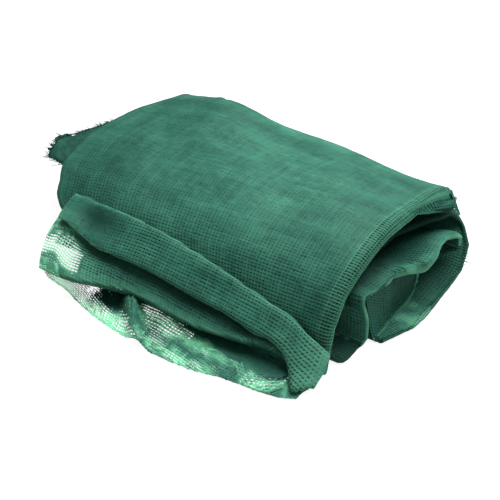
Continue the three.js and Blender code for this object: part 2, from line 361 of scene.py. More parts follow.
def knit_tree():
    # Cuts one opening into every face of a sheet, so that the yarns are left as a net with raised ridges.
    tree = bpy.data.node_groups.new("knit_openings", "GeometryNodeTree")
    sockets = tree.interface
    sockets.new_socket("Sheet", in_out="INPUT", socket_type="NodeSocketGeometry")
    sizes = {}
    for name in ("Wider along", "Unevenness", "Yarn relief"):
        sizes[name] = sockets.new_socket(name, in_out="INPUT", socket_type="NodeSocketFloat").identifier
    sizes["Seed"] = sockets.new_socket("Seed", in_out="INPUT", socket_type="NodeSocketInt").identifier
    sizes["Bake scale"] = sockets.new_socket(
        "Bake scale", in_out="INPUT", socket_type="NodeSocketVector").identifier
    sizes["Yarn"] = sockets.new_socket("Yarn", in_out="INPUT", socket_type="NodeSocketMaterial").identifier
    sockets.new_socket("Net", in_out="OUTPUT", socket_type="NodeSocketGeometry")

    def add(kind, **settings):
        node = tree.nodes.new(kind)
        for key, value in settings.items():
            setattr(node, key, value)
        return node

    def link(out_socket, in_socket):
        tree.links.new(out_socket, in_socket)

    def maths(operation, a, b):
        return math_node(tree, operation, a, b)

    def vectors(operation, a, b):
        node = add("ShaderNodeVectorMath", operation=operation)
        link(a, node.inputs[0])
        link(b, node.inputs[1])
        return node.outputs[0]

    given = add("NodeGroupInput").outputs
    flat = add("GeometryNodeInputNamedAttribute", data_type="FLOAT_VECTOR")
    flat.inputs["Name"].default_value = "flat"
    chance = add("FunctionNodeRandomValue", data_type="FLOAT")
    random_in = [socket for socket in chance.inputs if socket.enabled]
    link(maths("SUBTRACT", 1.0, given["Unevenness"]), random_in[0])
    link(maths("ADD", 1.0, given["Unevenness"]), random_in[1])
    link(given["Seed"], chance.inputs["Seed"])
    wanted = add("GeometryNodeInputNamedAttribute", data_type="FLOAT")
    wanted.inputs["Name"].default_value = "opening"
    random_out = [socket for socket in chance.outputs if socket.enabled]
    opening = maths("MULTIPLY", wanted.outputs[0], random_out[0])

    keep = add("GeometryNodeCaptureAttribute", domain="FACE")
    keep.capture_items.new("VECTOR", "Centre")
    keep.capture_items.new("FLOAT", "Share")
    link(given["Sheet"], keep.inputs[0])
    link(flat.outputs[0], keep.inputs["Centre"])
    link(opening, keep.inputs["Share"])

    raised = add("GeometryNodeExtrudeMesh", mode="FACES")
    link(keep.outputs[0], raised.inputs["Mesh"])
    link(maths("MULTIPLY", given["Yarn relief"], -1.0), raised.inputs["Offset Scale"])
    raised.inputs["Individual"].default_value = True
    link(maths("GREATER_THAN", keep.outputs["Share"], SMALLEST_OPENING), raised.inputs["Selection"])
    inset = add("GeometryNodeScaleElements", domain="FACE", scale_mode="UNIFORM")
    link(raised.outputs["Mesh"], inset.inputs["Geometry"])
    link(raised.outputs["Top"], inset.inputs["Selection"])
    link(keep.outputs["Share"], inset.inputs["Scale"])
    widened = add("GeometryNodeScaleElements", domain="FACE", scale_mode="SINGLE_AXIS")
    link(inset.outputs["Geometry"], widened.inputs["Geometry"])
    link(raised.outputs["Top"], widened.inputs["Selection"])
    along = maths("MINIMUM", maths("MULTIPLY", keep.outputs["Share"], given["Wider along"]), WIDEST_OPENING)
    stretch = maths("DIVIDE", along, maths("MAXIMUM", keep.outputs["Share"], SMALLEST_OPENING))
    link(stretch, widened.inputs["Scale"])
    widened.inputs["Axis"].default_value = (1.0, 0.0, 0.0)

    shape = add("ShaderNodeCombineXYZ")
    link(along, shape.inputs[0])
    link(keep.outputs["Share"], shape.inputs[1])
    offset = vectors("SUBTRACT", flat.outputs[0], keep.outputs["Centre"])
    placed = add("GeometryNodeStoreNamedAttribute", data_type="FLOAT_VECTOR", domain="POINT")
    placed.inputs["Name"].default_value = "flat"
    link(widened.outputs["Geometry"], placed.inputs["Geometry"])
    link(raised.outputs["Top"], placed.inputs["Selection"])
    inside = vectors("ADD", keep.outputs["Centre"], vectors("MULTIPLY", offset, shape.outputs[0]))
    link(inside, placed.inputs["Value"])

    opened = add("GeometryNodeDeleteGeometry", domain="FACE", mode="ALL")
    link(placed.outputs["Geometry"], opened.inputs["Geometry"])
    link(raised.outputs["Top"], opened.inputs["Selection"])
    mapped = add("GeometryNodeStoreNamedAttribute", data_type="FLOAT2", domain="CORNER")
    mapped.inputs["Name"].default_value = "Flat"
    link(opened.outputs["Geometry"], mapped.inputs["Geometry"])
    link(flat.outputs[0], mapped.inputs["Value"])
    baked = add("GeometryNodeStoreNamedAttribute", data_type="FLOAT2", domain="CORNER")
    baked.inputs["Name"].default_value = "OFBake"
    link(mapped.outputs["Geometry"], baked.inputs["Geometry"])
    link(vectors("MULTIPLY", flat.outputs[0], given["Bake scale"]), baked.inputs["Value"])
    smooth = add("GeometryNodeSetShadeSmooth")
    link(baked.outputs["Geometry"], smooth.inputs["Geometry"])
    whole = add("GeometryNodeRealizeInstances")
    link(smooth.outputs["Geometry"], whole.inputs["Geometry"])
    painted = add("GeometryNodeSetMaterial")
    link(whole.outputs["Geometry"], painted.inputs["Geometry"])
    link(given["Yarn"], painted.inputs["Material"])
    link(painted.outputs["Geometry"], add("NodeGroupOutput").inputs[0])
    return tree, sizes


def net_material():
    # Green polyethylene yarn: satin, slightly see-through, and uneven in colour along rows and columns, with
    # light and shade painted into its colour.
    material = bpy.data.materials.new("net_green")
    material.use_nodes = True
    nodes = material.node_tree.nodes
    links = material.node_tree.links
    nodes.clear()
    flat = nodes.new("ShaderNodeUVMap")
    flat.uv_map = "Flat"

    def noise(scale_along, scale_across, detail):
        mapping = nodes.new("ShaderNodeMapping")
        mapping.inputs["Scale"].default_value = (scale_along, scale_across, 1.0)
        links.new(flat.outputs["UV"], mapping.inputs["Vector"])
        texture = nodes.new("ShaderNodeTexNoise")
        texture.inputs["Scale"].default_value = 1.0
        texture.inputs["Detail"].default_value = detail
        links.new(mapping.outputs["Vector"], texture.inputs["Vector"])
        return texture.outputs["Fac"]

    def maths(operation, a, b):
        return math_node(material.node_tree, operation, a, b)

    patches = noise(22.0, 40.0, 5.0)
    row_streaks = noise(9.0, 240.0, 3.0)
    column_streaks = noise(190.0, 14.0, 3.0)
    streaks = maths("MULTIPLY", maths("ADD", row_streaks, column_streaks), 0.5)
    fuzz = noise(90.0, 620.0, 3.0)
    uneven_tone = maths("ADD", maths("MULTIPLY", patches, 0.36), maths("MULTIPLY", fuzz, 0.28))
    tone = maths("ADD", uneven_tone, maths("MULTIPLY", streaks, 0.36))
    ramp = nodes.new("ShaderNodeValToRGB")
    ramp.color_ramp.elements[0].position = 0.40
    ramp.color_ramp.elements[0].color = (0.013, 0.072, 0.050, 1.0)
    ramp.color_ramp.elements[1].position = 0.61
    ramp.color_ramp.elements[1].color = (0.034, 0.152, 0.104, 1.0)
    links.new(tone, ramp.inputs["Fac"])
    yarn_grain = noise(1400.0, 1400.0, 3.0)
    bump = nodes.new("ShaderNodeBump")
    bump.inputs["Strength"].default_value = 0.5
    bump.inputs["Distance"].default_value = 0.0002
    links.new(yarn_grain, bump.inputs["Height"])
    # The piece's tone paints light and shade into the yarn: above 0 it mixes in the painted glow and more
    # translucency, below 0 the painted shade.
    plies = nodes.new("ShaderNodeAttribute")
    plies.attribute_name = "sheer"
    painted_glow_share = maths("MAXIMUM", plies.outputs["Fac"], 0.0)
    behind = maths("MAXIMUM", maths("MULTIPLY", plies.outputs["Fac"], -1.0), 0.0)

    def mixed(factor, near, far):
        node = nodes.new("ShaderNodeMix")
        node.data_type = "RGBA"
        links.new(factor, node.inputs["Factor"])
        links.new(near, node.inputs["A"])
        node.inputs["B"].default_value = far
        return node.outputs["Result"]

    colour = mixed(behind, mixed(painted_glow_share, ramp.outputs["Color"], PAINTED_GLOW_GREEN), PAINTED_SHADE_GREEN)
    yarn = nodes.new("ShaderNodeBsdfPrincipled")
    links.new(colour, yarn.inputs["Base Color"])
    links.new(maths("ADD", maths("MULTIPLY", yarn_grain, 0.25), 0.45), yarn.inputs["Roughness"])
    links.new(bump.outputs["Normal"], yarn.inputs["Normal"])
    yarn.inputs["Specular IOR Level"].default_value = 0.09
    glow = nodes.new("ShaderNodeBsdfTranslucent")
    links.new(colour, glow.inputs["Color"])
    mix = nodes.new("ShaderNodeMixShader")
    links.new(maths("ADD", maths("MULTIPLY", painted_glow_share, 0.35), 0.2), mix.inputs["Fac"])
    output = nodes.new("ShaderNodeOutputMaterial")
    links.new(yarn.outputs["BSDF"], mix.inputs[1])
    links.new(glow.outputs["BSDF"], mix.inputs[2])
    links.new(mix.outputs["Shader"], output.inputs["Surface"])
    return material


KNIT_TREE, KNIT_INPUTS = knit_tree()
NET_GREEN = net_material()


def yarn_ends(roots, away, length, seed):
    # Loose ends of yarn, each a thin ribbon that leaves its root at an edge and bends a little aside.
    chance = np.random.default_rng(seed)
    count = len(roots)
    step = np.linspace(0.0, 1.0, YARN_STEPS)[:, None]
    reach = (length * chance.uniform(YARN_SHORTEST, 1.0, count))[:, None, None]
    aside = chance.normal(0.0, YARN_WANDER, (count, 3))
    bend = chance.normal(0.0, YARN_WANDER, (count, 3))
    heading = np.asarray(away) + aside
    middle = roots[:, None] + reach * (heading[:, None] * step + bend[:, None] * step ** 2)
    flank = np.cross(heading, chance.normal(0.0, 1.0, (count, 3)))
    flank /= np.linalg.norm(flank, axis=1, keepdims=True)
    half = 0.5 * YARN_WIDTH * flank[:, None] * (1.0 - YARN_TAPER * step)
    ribbons = np.stack([middle - half, middle + half], 2)
    ribbons[..., 2] = np.maximum(ribbons[..., 2], LOWEST_YARN)
    return ribbons


def knitted_piece(name, points, u, v, opening, seed, sheer, ends=None):
    rows, columns = u.shape
    number = np.arange(rows * columns).reshape(rows, columns)
    faces = np.stack([number[:-1, :-1], number[:-1, 1:], number[1:, 1:], number[1:, :-1]], -1)
    opened = opening[:-1, :-1]
    kept = opened < DROPPED
    faces = faces[kept]
    opened = opened[kept]
    flat = np.stack([u * MM, v * MM, np.zeros_like(u)], -1)
    corners = points.reshape(-1, 3)
    placed_flat = flat.reshape(-1, 3)
    # The tone of painted light and shade at each point, read by the yarn material.
    painted_tones = sheer.ravel()
    if ends is not None:
        first = len(corners) + 2 * np.arange(len(ends) * YARN_STEPS).reshape(len(ends), YARN_STEPS)
        start = first[:, :-1]
        end = first[:, 1:]
        ribbons = np.stack([start, start + 1, end + 1, end], -1).reshape(-1, 4)
        faces = np.concatenate([faces, ribbons])
        opened = np.concatenate([opened, np.zeros(len(ribbons))])
        loose = ends.reshape(-1, 3)
        nearest = np.array([np.argmin(((corners - tip) ** 2).sum(axis=1)) for tip in loose])
        corners = np.concatenate([corners, loose])
        placed_flat = np.concatenate([placed_flat, placed_flat[nearest]])
        painted_tones = np.concatenate([painted_tones, painted_tones[nearest]])
    placed = (corners - np.array([MIDDLE_X, MIDDLE_Y, 0.0])) * MM
    grid = bpy.data.meshes.new(name + "_grid")
    grid.from_pydata(placed.tolist(), [], faces.tolist())
    grid.attributes.new("flat", "FLOAT_VECTOR", "POINT").data.foreach_set("vector", placed_flat.ravel())
    grid.attributes.new("opening", "FLOAT", "FACE").data.foreach_set("value", opened)
    grid.attributes.new("sheer", "FLOAT", "POINT").data.foreach_set("value", painted_tones)
    sheet = bpy.data.objects.new(name + "_sheet", grid)
    bpy.context.scene.collection.objects.link(sheet)
    knit = sheet.modifiers.new("knit", "NODES")
    knit.node_group = KNIT_TREE
    knit[KNIT_INPUTS["Wider along"]] = OPENING_STRETCH
    knit[KNIT_INPUTS["Unevenness"]] = OPENING_UNEVENNESS
    knit[KNIT_INPUTS["Yarn relief"]] = YARN_RELIEF
    knit[KNIT_INPUTS["Seed"]] = seed
    knit[KNIT_INPUTS["Bake scale"]] = (1.0 / flat[..., 0].max(), 1.0 / flat[..., 1].max(), 0.0)
    knit[KNIT_INPUTS["Yarn"]] = NET_GREEN
    evaluated = sheet.evaluated_get(bpy.context.evaluated_depsgraph_get())
    mesh = bpy.data.meshes.new_from_object(evaluated)
    mesh.name = name
    bpy.data.objects.remove(sheet)
    piece = bpy.data.objects.new(name, mesh)
    bpy.context.scene.collection.objects.link(piece)
    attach(piece, "root")
    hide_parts("net")


core_folds = table(PACK_COLUMNS, CORE_FOLDS)
core_points = folded_ply(pack_place(core_folds), core_folds, lip_columns=3, turned_in=20)[0]
core_u, core_v = flat_sizes(core_points)
core_points = uneven(core_points, core_u, core_v, CORE_SEED, wave=0.8, wrinkle=0.4, jitter=0.12)
core_opening = openings(core_u, core_v, CORE_SEED, CORE_OPENING)
core_opening[deep_inside(core_points)] = 0.0
# The core lies in the pack's shadow, so its yarn gets painted shade, darkest where its knit is closed.
core_painted_shade = np.where(core_opening > 0.0, CORE_PAINTED_SHADE, CORE_CLOSED_PAINTED_SHADE)
knitted_piece("net_core", core_points, core_u, core_v, core_opening, CORE_SEED, core_painted_shade)

# Band inside the pack
# The ply that lies on the core, comes forward and goes down to the floor behind the wrap's front.
# It is the same knitted mesh, and at the open end its edge is turned down in a wavy, rolled lip.
BAND_FOLDS = [
    ("coreTurnIn", 231, 33, 17, 0, 40, -351, 1),
    ("coreTurnOut", 232, 42, 16, 0, 46, -350, -3),
    ("bandBack", 215, 48, 12, 0, 42, -352, -5),
    ("bandMiddle", 192, 50, 0, 0, 36, -364, -5),
    ("bandHollow", 157, 44, 0, 2, 28, -370, -5),
    ("bandDip", 148, 46, 0, 0, 21, -372, -5),
    ("bandRise", 112, 57, 0, -4, 15, -376, -5),
    ("bandCrest", 90, 58, 0, -6, 11, -372, -5),
    ("bandTurn", 67, 51, 0, -4, 8, -366, -5),
    ("bandWall", 61, 28, 0, -2, 10, -362, -5),
    ("bandFoot", 59, 9, 0, 0, 11, -360, -5),
    ("heelIn", 51, 2.5, 0, 0, 6, -340, 2),
    ("heelOut", 22, 3, 0, 0, 3, -316, 2),
    ("heelRise", 19, 13, 0, 0, -9, -314, 2),
    ("heelTop", 38, 38, 0, 0, -16, -330, 2),
]

LIP_WAVE_COLUMNS = "y out up"
LIP_WAVE = [
    (60, -4, 3),
    (67, -7, 5),
    (90, -6, -6),
    (112, -7, -5),
    (121, -8, 0),
    (132, 2, 7),
    (148, 3, 6),
    (158, 5, 11),
    (175, 2, 11),
    (192, -4, 8),
    (215, -10, 8),
    (232, -7, 7),
    (250, -4, 2),
]
LIP_WAVE_REACH = 55.0
LIP_WAVE_FROM = 30.0
LIP_WAVE_FULL = 45.0
LIP_SHADE_REACH = 16.0
LIP_SHADE_START = 0.35
LIP_SHADE_MOST = 0.75
LIP_TIP = 0.9
LIP_OPENING = 0.12
LIP_PAINTED_SHADE = -0.22
LIP_TIP_PAINTED_HIGHLIGHT = 0.6
LIP_UNDER_PAINTED_SHADE = -0.4
HEEL_BACK = 55.0
HEEL_PAINTED_SHADE = -0.85
HEEL_LIP_PAINTED_SHADE = -1.0
BAND_SEED = 20
BAND_OPENING = 0.24
BAND_WALL_PAINTED_LIGHT = 0.06
BAND_UNDER_PAINTED_SHADE = -0.8

band_folds = table(PACK_COLUMNS, BAND_FOLDS)
band_points, band_inside, band_lip = folded_ply(
    pack_place(band_folds), band_folds, lip_columns=4, turned_in=30)
lip_wave = table(LIP_WAVE_COLUMNS, LIP_WAVE)
lip_x = band_points[..., 0].max(axis=1, keepdims=True)
lip_near = np.clip(1.0 + (band_points[..., 0] - lip_x) / LIP_WAVE_REACH, 0.0, 1.0)
lip_near = eased(lip_near) * rise(band_points[..., 2], LIP_WAVE_FROM, LIP_WAVE_FULL - LIP_WAVE_FROM)
band_y = band_points[..., 1]
band_points[..., 0] += lip_near * np.interp(band_y, lip_wave["y"], lip_wave["out"])
band_points[..., 2] += lip_near * np.interp(band_y, lip_wave["y"], lip_wave["up"])
band_u, band_v = flat_sizes(band_points)
band_points = uneven(band_points, band_u, band_v, BAND_SEED, wave=0.9, wrinkle=0.6, jitter=0.12)
band_top = band_points[..., 2] > LIP_WAVE_FULL
band_opening = openings(band_u, band_v, BAND_SEED, BAND_OPENING)
band_opening = np.where(band_lip > 0.0, LIP_OPENING, band_opening)
band_opening[deep_inside(band_points) | ~band_inside] = 0.0
lip_x = band_points[..., 0].max(axis=1, keepdims=True)
# Painted shade on the band's top, deeper the farther it lies back from the lip.
band_top_painted_shade = np.clip((lip_x - band_points[..., 0]) / LIP_SHADE_REACH - LIP_SHADE_START, 0.0, LIP_SHADE_MOST)
# Painted light on the band's wall, and painted shade on the heel and on the band's hidden outer side.
band_wall_painted_tone = np.where(band_points[..., 1] > HEEL_BACK, BAND_WALL_PAINTED_LIGHT, HEEL_PAINTED_SHADE)
band_painted_tone = np.where(band_inside, np.where(band_top, -band_top_painted_shade, band_wall_painted_tone), BAND_UNDER_PAINTED_SHADE)
# A painted highlight along the lip's edge, fading to painted shade round the lip, under it and all along the
# heel's lip.
lip_painted_light_and_shade = np.where(band_points[..., 1] > HEEL_BACK, LIP_TIP_PAINTED_HIGHLIGHT * band_lip + LIP_PAINTED_SHADE, HEEL_LIP_PAINTED_SHADE)
under_lip_painted_shade = np.minimum(lip_painted_light_and_shade, LIP_UNDER_PAINTED_SHADE)
lip_painted_tone = np.where(band_inside | (band_lip > LIP_TIP), lip_painted_light_and_shade, under_lip_painted_shade)
band_painted_tone = np.where(band_lip > 0.0, lip_painted_tone, band_painted_tone)
knitted_piece("net_band", band_points, band_u, band_v, band_opening, BAND_SEED, band_painted_tone)

# Curtain at the open end
# The band's edge is pulled out in the middle of the open end and hangs from its lip down to the floor.
# It is the same knitted mesh, with painted shade on it and a painted highlight on its turned edge at its
# foot and its back.
HUNG_COLUMNS = "top_x top_y top_z foot_x foot_y foot_z"
CURTAIN_STATIONS = [
    (8, 66, 57, 15, 69, 1.5),
    (10, 90, 54, 17, 92, 1.5),
    (11, 112, 54, 18, 116, 1.5),
    (16, 130, 54, 19, 137, 2),
    (21, 141, 53, 19, 154, 5),
    (23, 145, 51, 20, 160, 13),
    (24, 147, 50, 21, 161, 24),
]
FOOT_SHARPNESS = 6
EDGE_SHARPNESS = 12
CURTAIN_SEED = 25
CURTAIN_OPENING = 0.3
CURTAIN_PAINTED_SHADE = -0.45
CURTAIN_RIM = 2
CURTAIN_RIM_PAINTED_HIGHLIGHT = 0.22


def hung_points(stations, columns, rows, bow, curl):
    # A sheet that hangs from a line of places to another below it, with its edges turned outwards.
    ends = table(HUNG_COLUMNS, stations)
    number = np.arange(len(stations))
    at = np.linspace(0.0, number[-1], columns)
    ends = {name: np.interp(at, number, values) for name, values in ends.items()}
    hang = np.linspace(0.0, 1.0, rows)[:, None]
    along = (at / at[-1])[None, :]
    turned = curl * np.maximum(hang ** FOOT_SHARPNESS, along ** EDGE_SHARPNESS)
    return np.stack([
        ends["top_x"] + (ends["foot_x"] - ends["top_x"]) * hang + turned,
        ends["top_y"] + (ends["foot_y"] - ends["top_y"]) * hang + bow * along * np.sin(np.pi * hang),
        ends["top_z"] + (ends["foot_z"] - ends["top_z"]) * hang,
    ], -1)


curtain_points = hung_points(CURTAIN_STATIONS, columns=27, rows=16, bow=5.0, curl=4.0)
curtain_u, curtain_v = flat_sizes(curtain_points)
curtain_points = uneven(
    curtain_points, curtain_u, curtain_v, CURTAIN_SEED, wave=1.2, wrinkle=0.8, jitter=0.12)
curtain_opening = openings(curtain_u, curtain_v, CURTAIN_SEED, CURTAIN_OPENING)
# Painted shade on the curtain, and a painted highlight on its closed rims at the foot and the back.
curtain_painted_tone = np.full(curtain_u.shape, CURTAIN_PAINTED_SHADE)
for rim in (np.s_[-CURTAIN_RIM:], np.s_[:, -CURTAIN_RIM:]):
    curtain_painted_tone[rim] = CURTAIN_RIM_PAINTED_HIGHLIGHT
    curtain_opening[rim] = 0.0
knitted_piece(
    "net_curtain", curtain_points, curtain_u, curtain_v, curtain_opening, CURTAIN_SEED,
    curtain_painted_tone)

# Inner folds
# The net goes on inside the pack under its top, turns back, and comes down behind to the floor.
# These plies of the same mesh carry the wrap from within. Their right ends show in the shadow of the
# open end, and at the far left they end in a frayed tuft.
INNER_FOLDS = [
    ("backTurnOut", 256, 75, 13, 6, 20, -350, 4),
    ("underBack", 236, 77, 12, 4, 25, -360, 3),
    ("underTop", 190, 85, 4, -3, -6, -412, 3),
    ("underFront", 130, 83, 0, -6, -16, -454, 3),
    ("innerTurnIn", 94, 76, 0, -6, -16, -442, 3),
    ("innerTurnOut", 94, 67, 0, -6, -17, -396, 3),
    ("innerFront", 122, 66, 0, -6, -18, -380, 3),
    ("innerMiddle", 175, 67, 2, -6, -14, -372, 3),
    ("innerBack", 235, 63, 10, -2, 14, -356, 4),
    ("backTop", 258, 56, 11, -3, 18, -352, 4),
    ("back", 264, 45, 13, -7, 26, -354, 5),
    ("backFoot", 247, 28, 22, -15, 45, -358, 4),
    ("floorBack", 221, 12, 23, -10, 50, -362, 4),
    ("floor", 180, 2, -5, 0, 46, -368, 4),
    ("floorFront", 112, 2, 0, 0, 43, -370, 4),
    ("floorTurnIn", 72, 2.5, 0, 0, 24, -364, 3),
]

INNER_SEED = 30
INNER_OPENING = 0.46
INNER_HIDDEN_SHARE = 0.55
INNER_PAINTED_SHADE = -0.3
INNER_CLOSED_PAINTED_SHADE = -0.9
BACK_SEEN = 225.0
TUFT_RIGHT = -385.0
TUFT_PAINTED_SHADE = -0.88
TUFT_SPECKLE = 0.12
TUFT_TIP = 30.0
TUFT_INSET = (7.0, 0.0, 0.0)
TUFT_YARNS = 9
TUFT_AWAY = (-0.9, -0.3, 0.0)
TUFT_LENGTH = 9.0
FRAY_REACH = 8.0
FRAY_START = 0.2
FRAY_DEPTH = 0.4
FRAYED_BACK = 222.0
FRAYED_HEIGHTS = (10.0, 26.0)
FRAYED_YARNS = 2
FRAYED_AWAY = (0.9, 0.1, 0.0)
FRAYED_LENGTH = 5.0
PATCH_Y = 128.0
PATCH_REACH = 26.0
PATCH_LEFT = 20.0
PATCH_TOP = 8.0
PATCH_RAGGED = 0.8
PATCH_EDGE = 0.5
PATCH_SEEN = 0.3
PATCH_OPENING = 0.3
PATCH_PAINTED_LIGHT = 0.24


def blurred(values, times):
    # Values on a grid of places, evened out with those next to them.
    for axis in (0, 1) * times:
        number = np.arange(values.shape[axis])
        before = np.take(values, np.maximum(number - 1, 0), axis)
        after = np.take(values, np.minimum(number + 1, number[-1]), axis)
        values = (before + 2.0 * values + after) / 4.0
    return values


inner_folds = table(PACK_COLUMNS, INNER_FOLDS)
inner_points, inner_inside, inner_lip = folded_ply(
    pack_place(inner_folds), inner_folds, lip_columns=3, turned_in=20)
inner_u, inner_v = flat_sizes(inner_points)
inner_points = uneven(inner_points, inner_u, inner_v, INNER_SEED, wave=0.9, wrinkle=0.5, jitter=0.12)
inner_opening = openings(inner_u, inner_v, INNER_SEED, INNER_OPENING)
inner_opening[inner_points[..., 0] < DEEP_RIGHT] *= INNER_HIDDEN_SHARE
inner_opening[deep_inside(inner_points) & (inner_points[..., 1] < BACK_SEEN)] = 0.0
inner_opening[~inner_inside & (inner_points[..., 0] > DEEP_RIGHT)] = 0.0
# Painted shade on the inner plies, deepest where their knit is closed.
inner_painted_tone = np.where(inner_opening > 0.0, INNER_PAINTED_SHADE, INNER_CLOSED_PAINTED_SHADE)

# The far left end is a closed tuft, in painted shade speckled at random, that frays at its tip.
tuft = inner_points[..., 0] < TUFT_RIGHT
inner_opening = np.where(tuft, 0.0, inner_opening)
fray = soft_noise(inner_u, inner_v, size=(3.0, 3.0), seed=38)
inner_painted_tone = np.where(tuft, TUFT_PAINTED_SHADE - TUFT_SPECKLE * np.sign(fray), inner_painted_tone)
from_tip = (inner_points[..., 0] - inner_points[:, :1, 0]) / FRAY_REACH
inner_opening = np.where(tuft & (from_tip < FRAY_START + FRAY_DEPTH * fray), DROPPED, inner_opening)

# A patch of the lowest ply lies open on the floor in the middle of the open end, and its yarn gets painted
# light.
patch = hump(inner_points[..., 1], PATCH_Y, PATCH_REACH) * (inner_points[..., 0] > PATCH_LEFT)
patch = np.where(inner_points[..., 2] < PATCH_TOP, patch, 0.0)
patch = patch * (1.0 + PATCH_RAGGED * soft_noise(inner_u, inner_v, size=(9.0, 9.0), seed=37))
patch = blurred(np.where(patch > PATCH_EDGE, 1.0, 0.0), times=2)
inner_opening = np.where(patch > PATCH_SEEN, PATCH_OPENING * patch, inner_opening)
inner_painted_tone = inner_painted_tone + patch * (PATCH_PAINTED_LIGHT - inner_painted_tone)

# Loose yarn ends stand out from the tuft and from the low back corner of the open end.
left_edge = inner_points[:, 0]
tuft_tip = left_edge[left_edge[:, 0] < TUFT_RIGHT - TUFT_TIP]
tuft_roots = np.repeat(tuft_tip, TUFT_YARNS, axis=0) + TUFT_INSET
right_edge = inner_points[:, inner_lip.argmax(axis=1).max()]
frayed = (right_edge[:, 1] > FRAYED_BACK) & among(right_edge[:, 2], FRAYED_HEIGHTS)
frayed_roots = np.repeat(right_edge[frayed], FRAYED_YARNS, axis=0)
inner_ends = np.concatenate([
    yarn_ends(tuft_roots, TUFT_AWAY, TUFT_LENGTH, seed=35),
    yarn_ends(frayed_roots, FRAYED_AWAY, FRAYED_LENGTH, seed=36),
])
knitted_piece(
    "net_floor", inner_points, inner_u, inner_v, inner_opening, INNER_SEED, inner_painted_tone,
    inner_ends)

# Wrap
# The outermost ply of the pack, the same knitted mesh, goes up its front and over its top, and turns in
# under itself at the back. Its right end is turned in too, so that a rounded lip with the rows of the
# knit round it frames the open end.
WRAP_FOLDS = [
    ("footIn", -1.5, 4, 0, 0, -5, -298, 2),
    ("footOut", 4, 4, 0, 0, -5, -300, 3),
    ("shin", 11, 20, 0, 0, -11, -310, 8),
    ("front", 21, 42, 0, -2, -15, -340, 12),
    ("shoulder", 45, 67, 0, -4, -15, -380, 12),
    ("topFront", 82, 86, 0, -6, -12, -399, 12),
    ("top", 135, 98, 0, -5, -9, -398, 12),
    ("topBack", 190, 97, 4, 1, -4, -380, 12),
    ("backEdge", 236, 91, 12, 8, 2, -358, 10),
    ("backTurnIn", 257, 85, 13, 8, 12, -352, 5),
    ("backTurnOut", 256, 75, 13, 6, 20, -350, 4),
]

WRAP_CREASES = [
    ([(-262.0, 190.0), (-225.0, 176.0), (-186.0, 180.0)], 9.0, -1.8),
    ([(-240.0, 205.0), (-200.0, 200.0)], 8.0, 1.4),
    ([(-120.0, 142.0), (-67.0, 152.0), (-15.0, 164.0)], 5.0, 1.0),
    ([(-95.0, 172.0), (-50.0, 186.0), (-8.0, 205.0)], 6.0, -1.2),
    ([(-330.0, 190.0), (-300.0, 150.0), (-290.0, 110.0)], 9.0, -1.0),
    ([(-200.0, 128.0), (-150.0, 132.0), (-110.0, 126.0)], 7.0, -0.9),
    ([(-170.0, 225.0), (-110.0, 214.0), (-60.0, 222.0)], 8.0, -1.2),
]
PULL_LEFT = -230.0
PULL_REACH = 70.0
PULL_LIFT = 3.0
PULL_PAINTED_LIGHT_AND_SHADE = 0.14
CREASED_ABOVE = 70.0
SHADED_LEFT = -190.0
SHADED_RIGHT = -110.0
SHADED_REACH = 110.0
TOP_FROM = 60.0
TOP_REACH = 35.0
WRAP_SEED = 40
WRAP_OPENING = 0.25
WRAP_TOP_CLOSED = 0.65
WRAP_RIM = 3
RIM_SHARE = 0.5
WRAP_INNER_PAINTED_SHADE = -0.6
WRAP_INNER_TOP_PAINTED_LIGHT = 0.35
WRAP_LEFT_PAINTED_SHADE = -0.52
WRAP_LEFT_TOP_PAINTED_LIGHT = 0.2
WRAP_RIGHT_PAINTED_SHADE = -0.25
RIB_COLUMNS = 2
RIB_OPENING = 0.42
RIB_PAINTED_LIGHT = 0.06
RIB_INNER_PAINTED_SHADE = -0.9
RIB_END_PAINTED_HIGHLIGHT = 0.18
BACK_EDGE = 240.0
BACK_DIP_Y = 235.0
BACK_DIP_REACH = 8.0
BACK_DIP_PAINTED_SHADE = -0.22
BACK_RIM_FROM = 246.0
BACK_RIM_REACH = 5.0
BACK_RIM_PAINTED_LIGHT = 0.03


def line_share(points, path, reach):
    # 1 on a line through the places of a path, falling softly to 0 at its reach.
    away = np.full(points.shape[:-1], np.inf)
    for start, end in zip(path[:-1], path[1:]):
        run = np.subtract(end, start)
        share = np.clip((points - start) @ run / (run @ run), 0.0, 1.0)
        away = np.minimum(away, np.linalg.norm(points - start - share[..., None] * run, axis=-1))
    return np.clip(1.0 - (away / reach) ** 2, 0.0, 1.0)


wrap_folds = table(PACK_COLUMNS, WRAP_FOLDS)
wrap_place = pack_place(wrap_folds)
wrap_points, wrap_inside, wrap_lip = folded_ply(wrap_place, wrap_folds, lip_columns=4, turned_in=200)
wrap_u, wrap_v = flat_sizes(wrap_points)
wrap_points = uneven(wrap_points, wrap_u, wrap_v, WRAP_SEED, wave=0.8, wrinkle=0.5, jitter=0.10)
for path, reach, lift in WRAP_CREASES:
    creased = line_share(wrap_points[..., :2], path, reach) * (wrap_points[..., 2] > CREASED_ABOVE)
    wrap_points[..., 2] += lift * creased
pulled = rise(wrap_points[..., 0], PULL_LEFT, -PULL_REACH)
pulled = pulled * soft_noise(wrap_points[..., 0], wrap_v, size=(9.0, 70.0), seed=47)
wrap_points[..., 1] -= PULL_LIFT * pulled
wrap_x = wrap_points[..., 0]
wrap_y = wrap_points[..., 1]
wrap_opening = openings(wrap_u, wrap_v, WRAP_SEED, WRAP_OPENING)
wrap_opening[wrap_inside] = 0.0
wrap_opening[:, :WRAP_RIM] = 0.0
wrap_opening[:, WRAP_RIM:2 * WRAP_RIM] *= RIM_SHARE
wrap_opening[wrap_y > BACK_EDGE] *= RIM_SHARE
on_top = rise(wrap_points[..., 2], TOP_FROM, TOP_REACH)
wrap_opening = wrap_opening * (1.0 - WRAP_TOP_CLOSED * on_top)
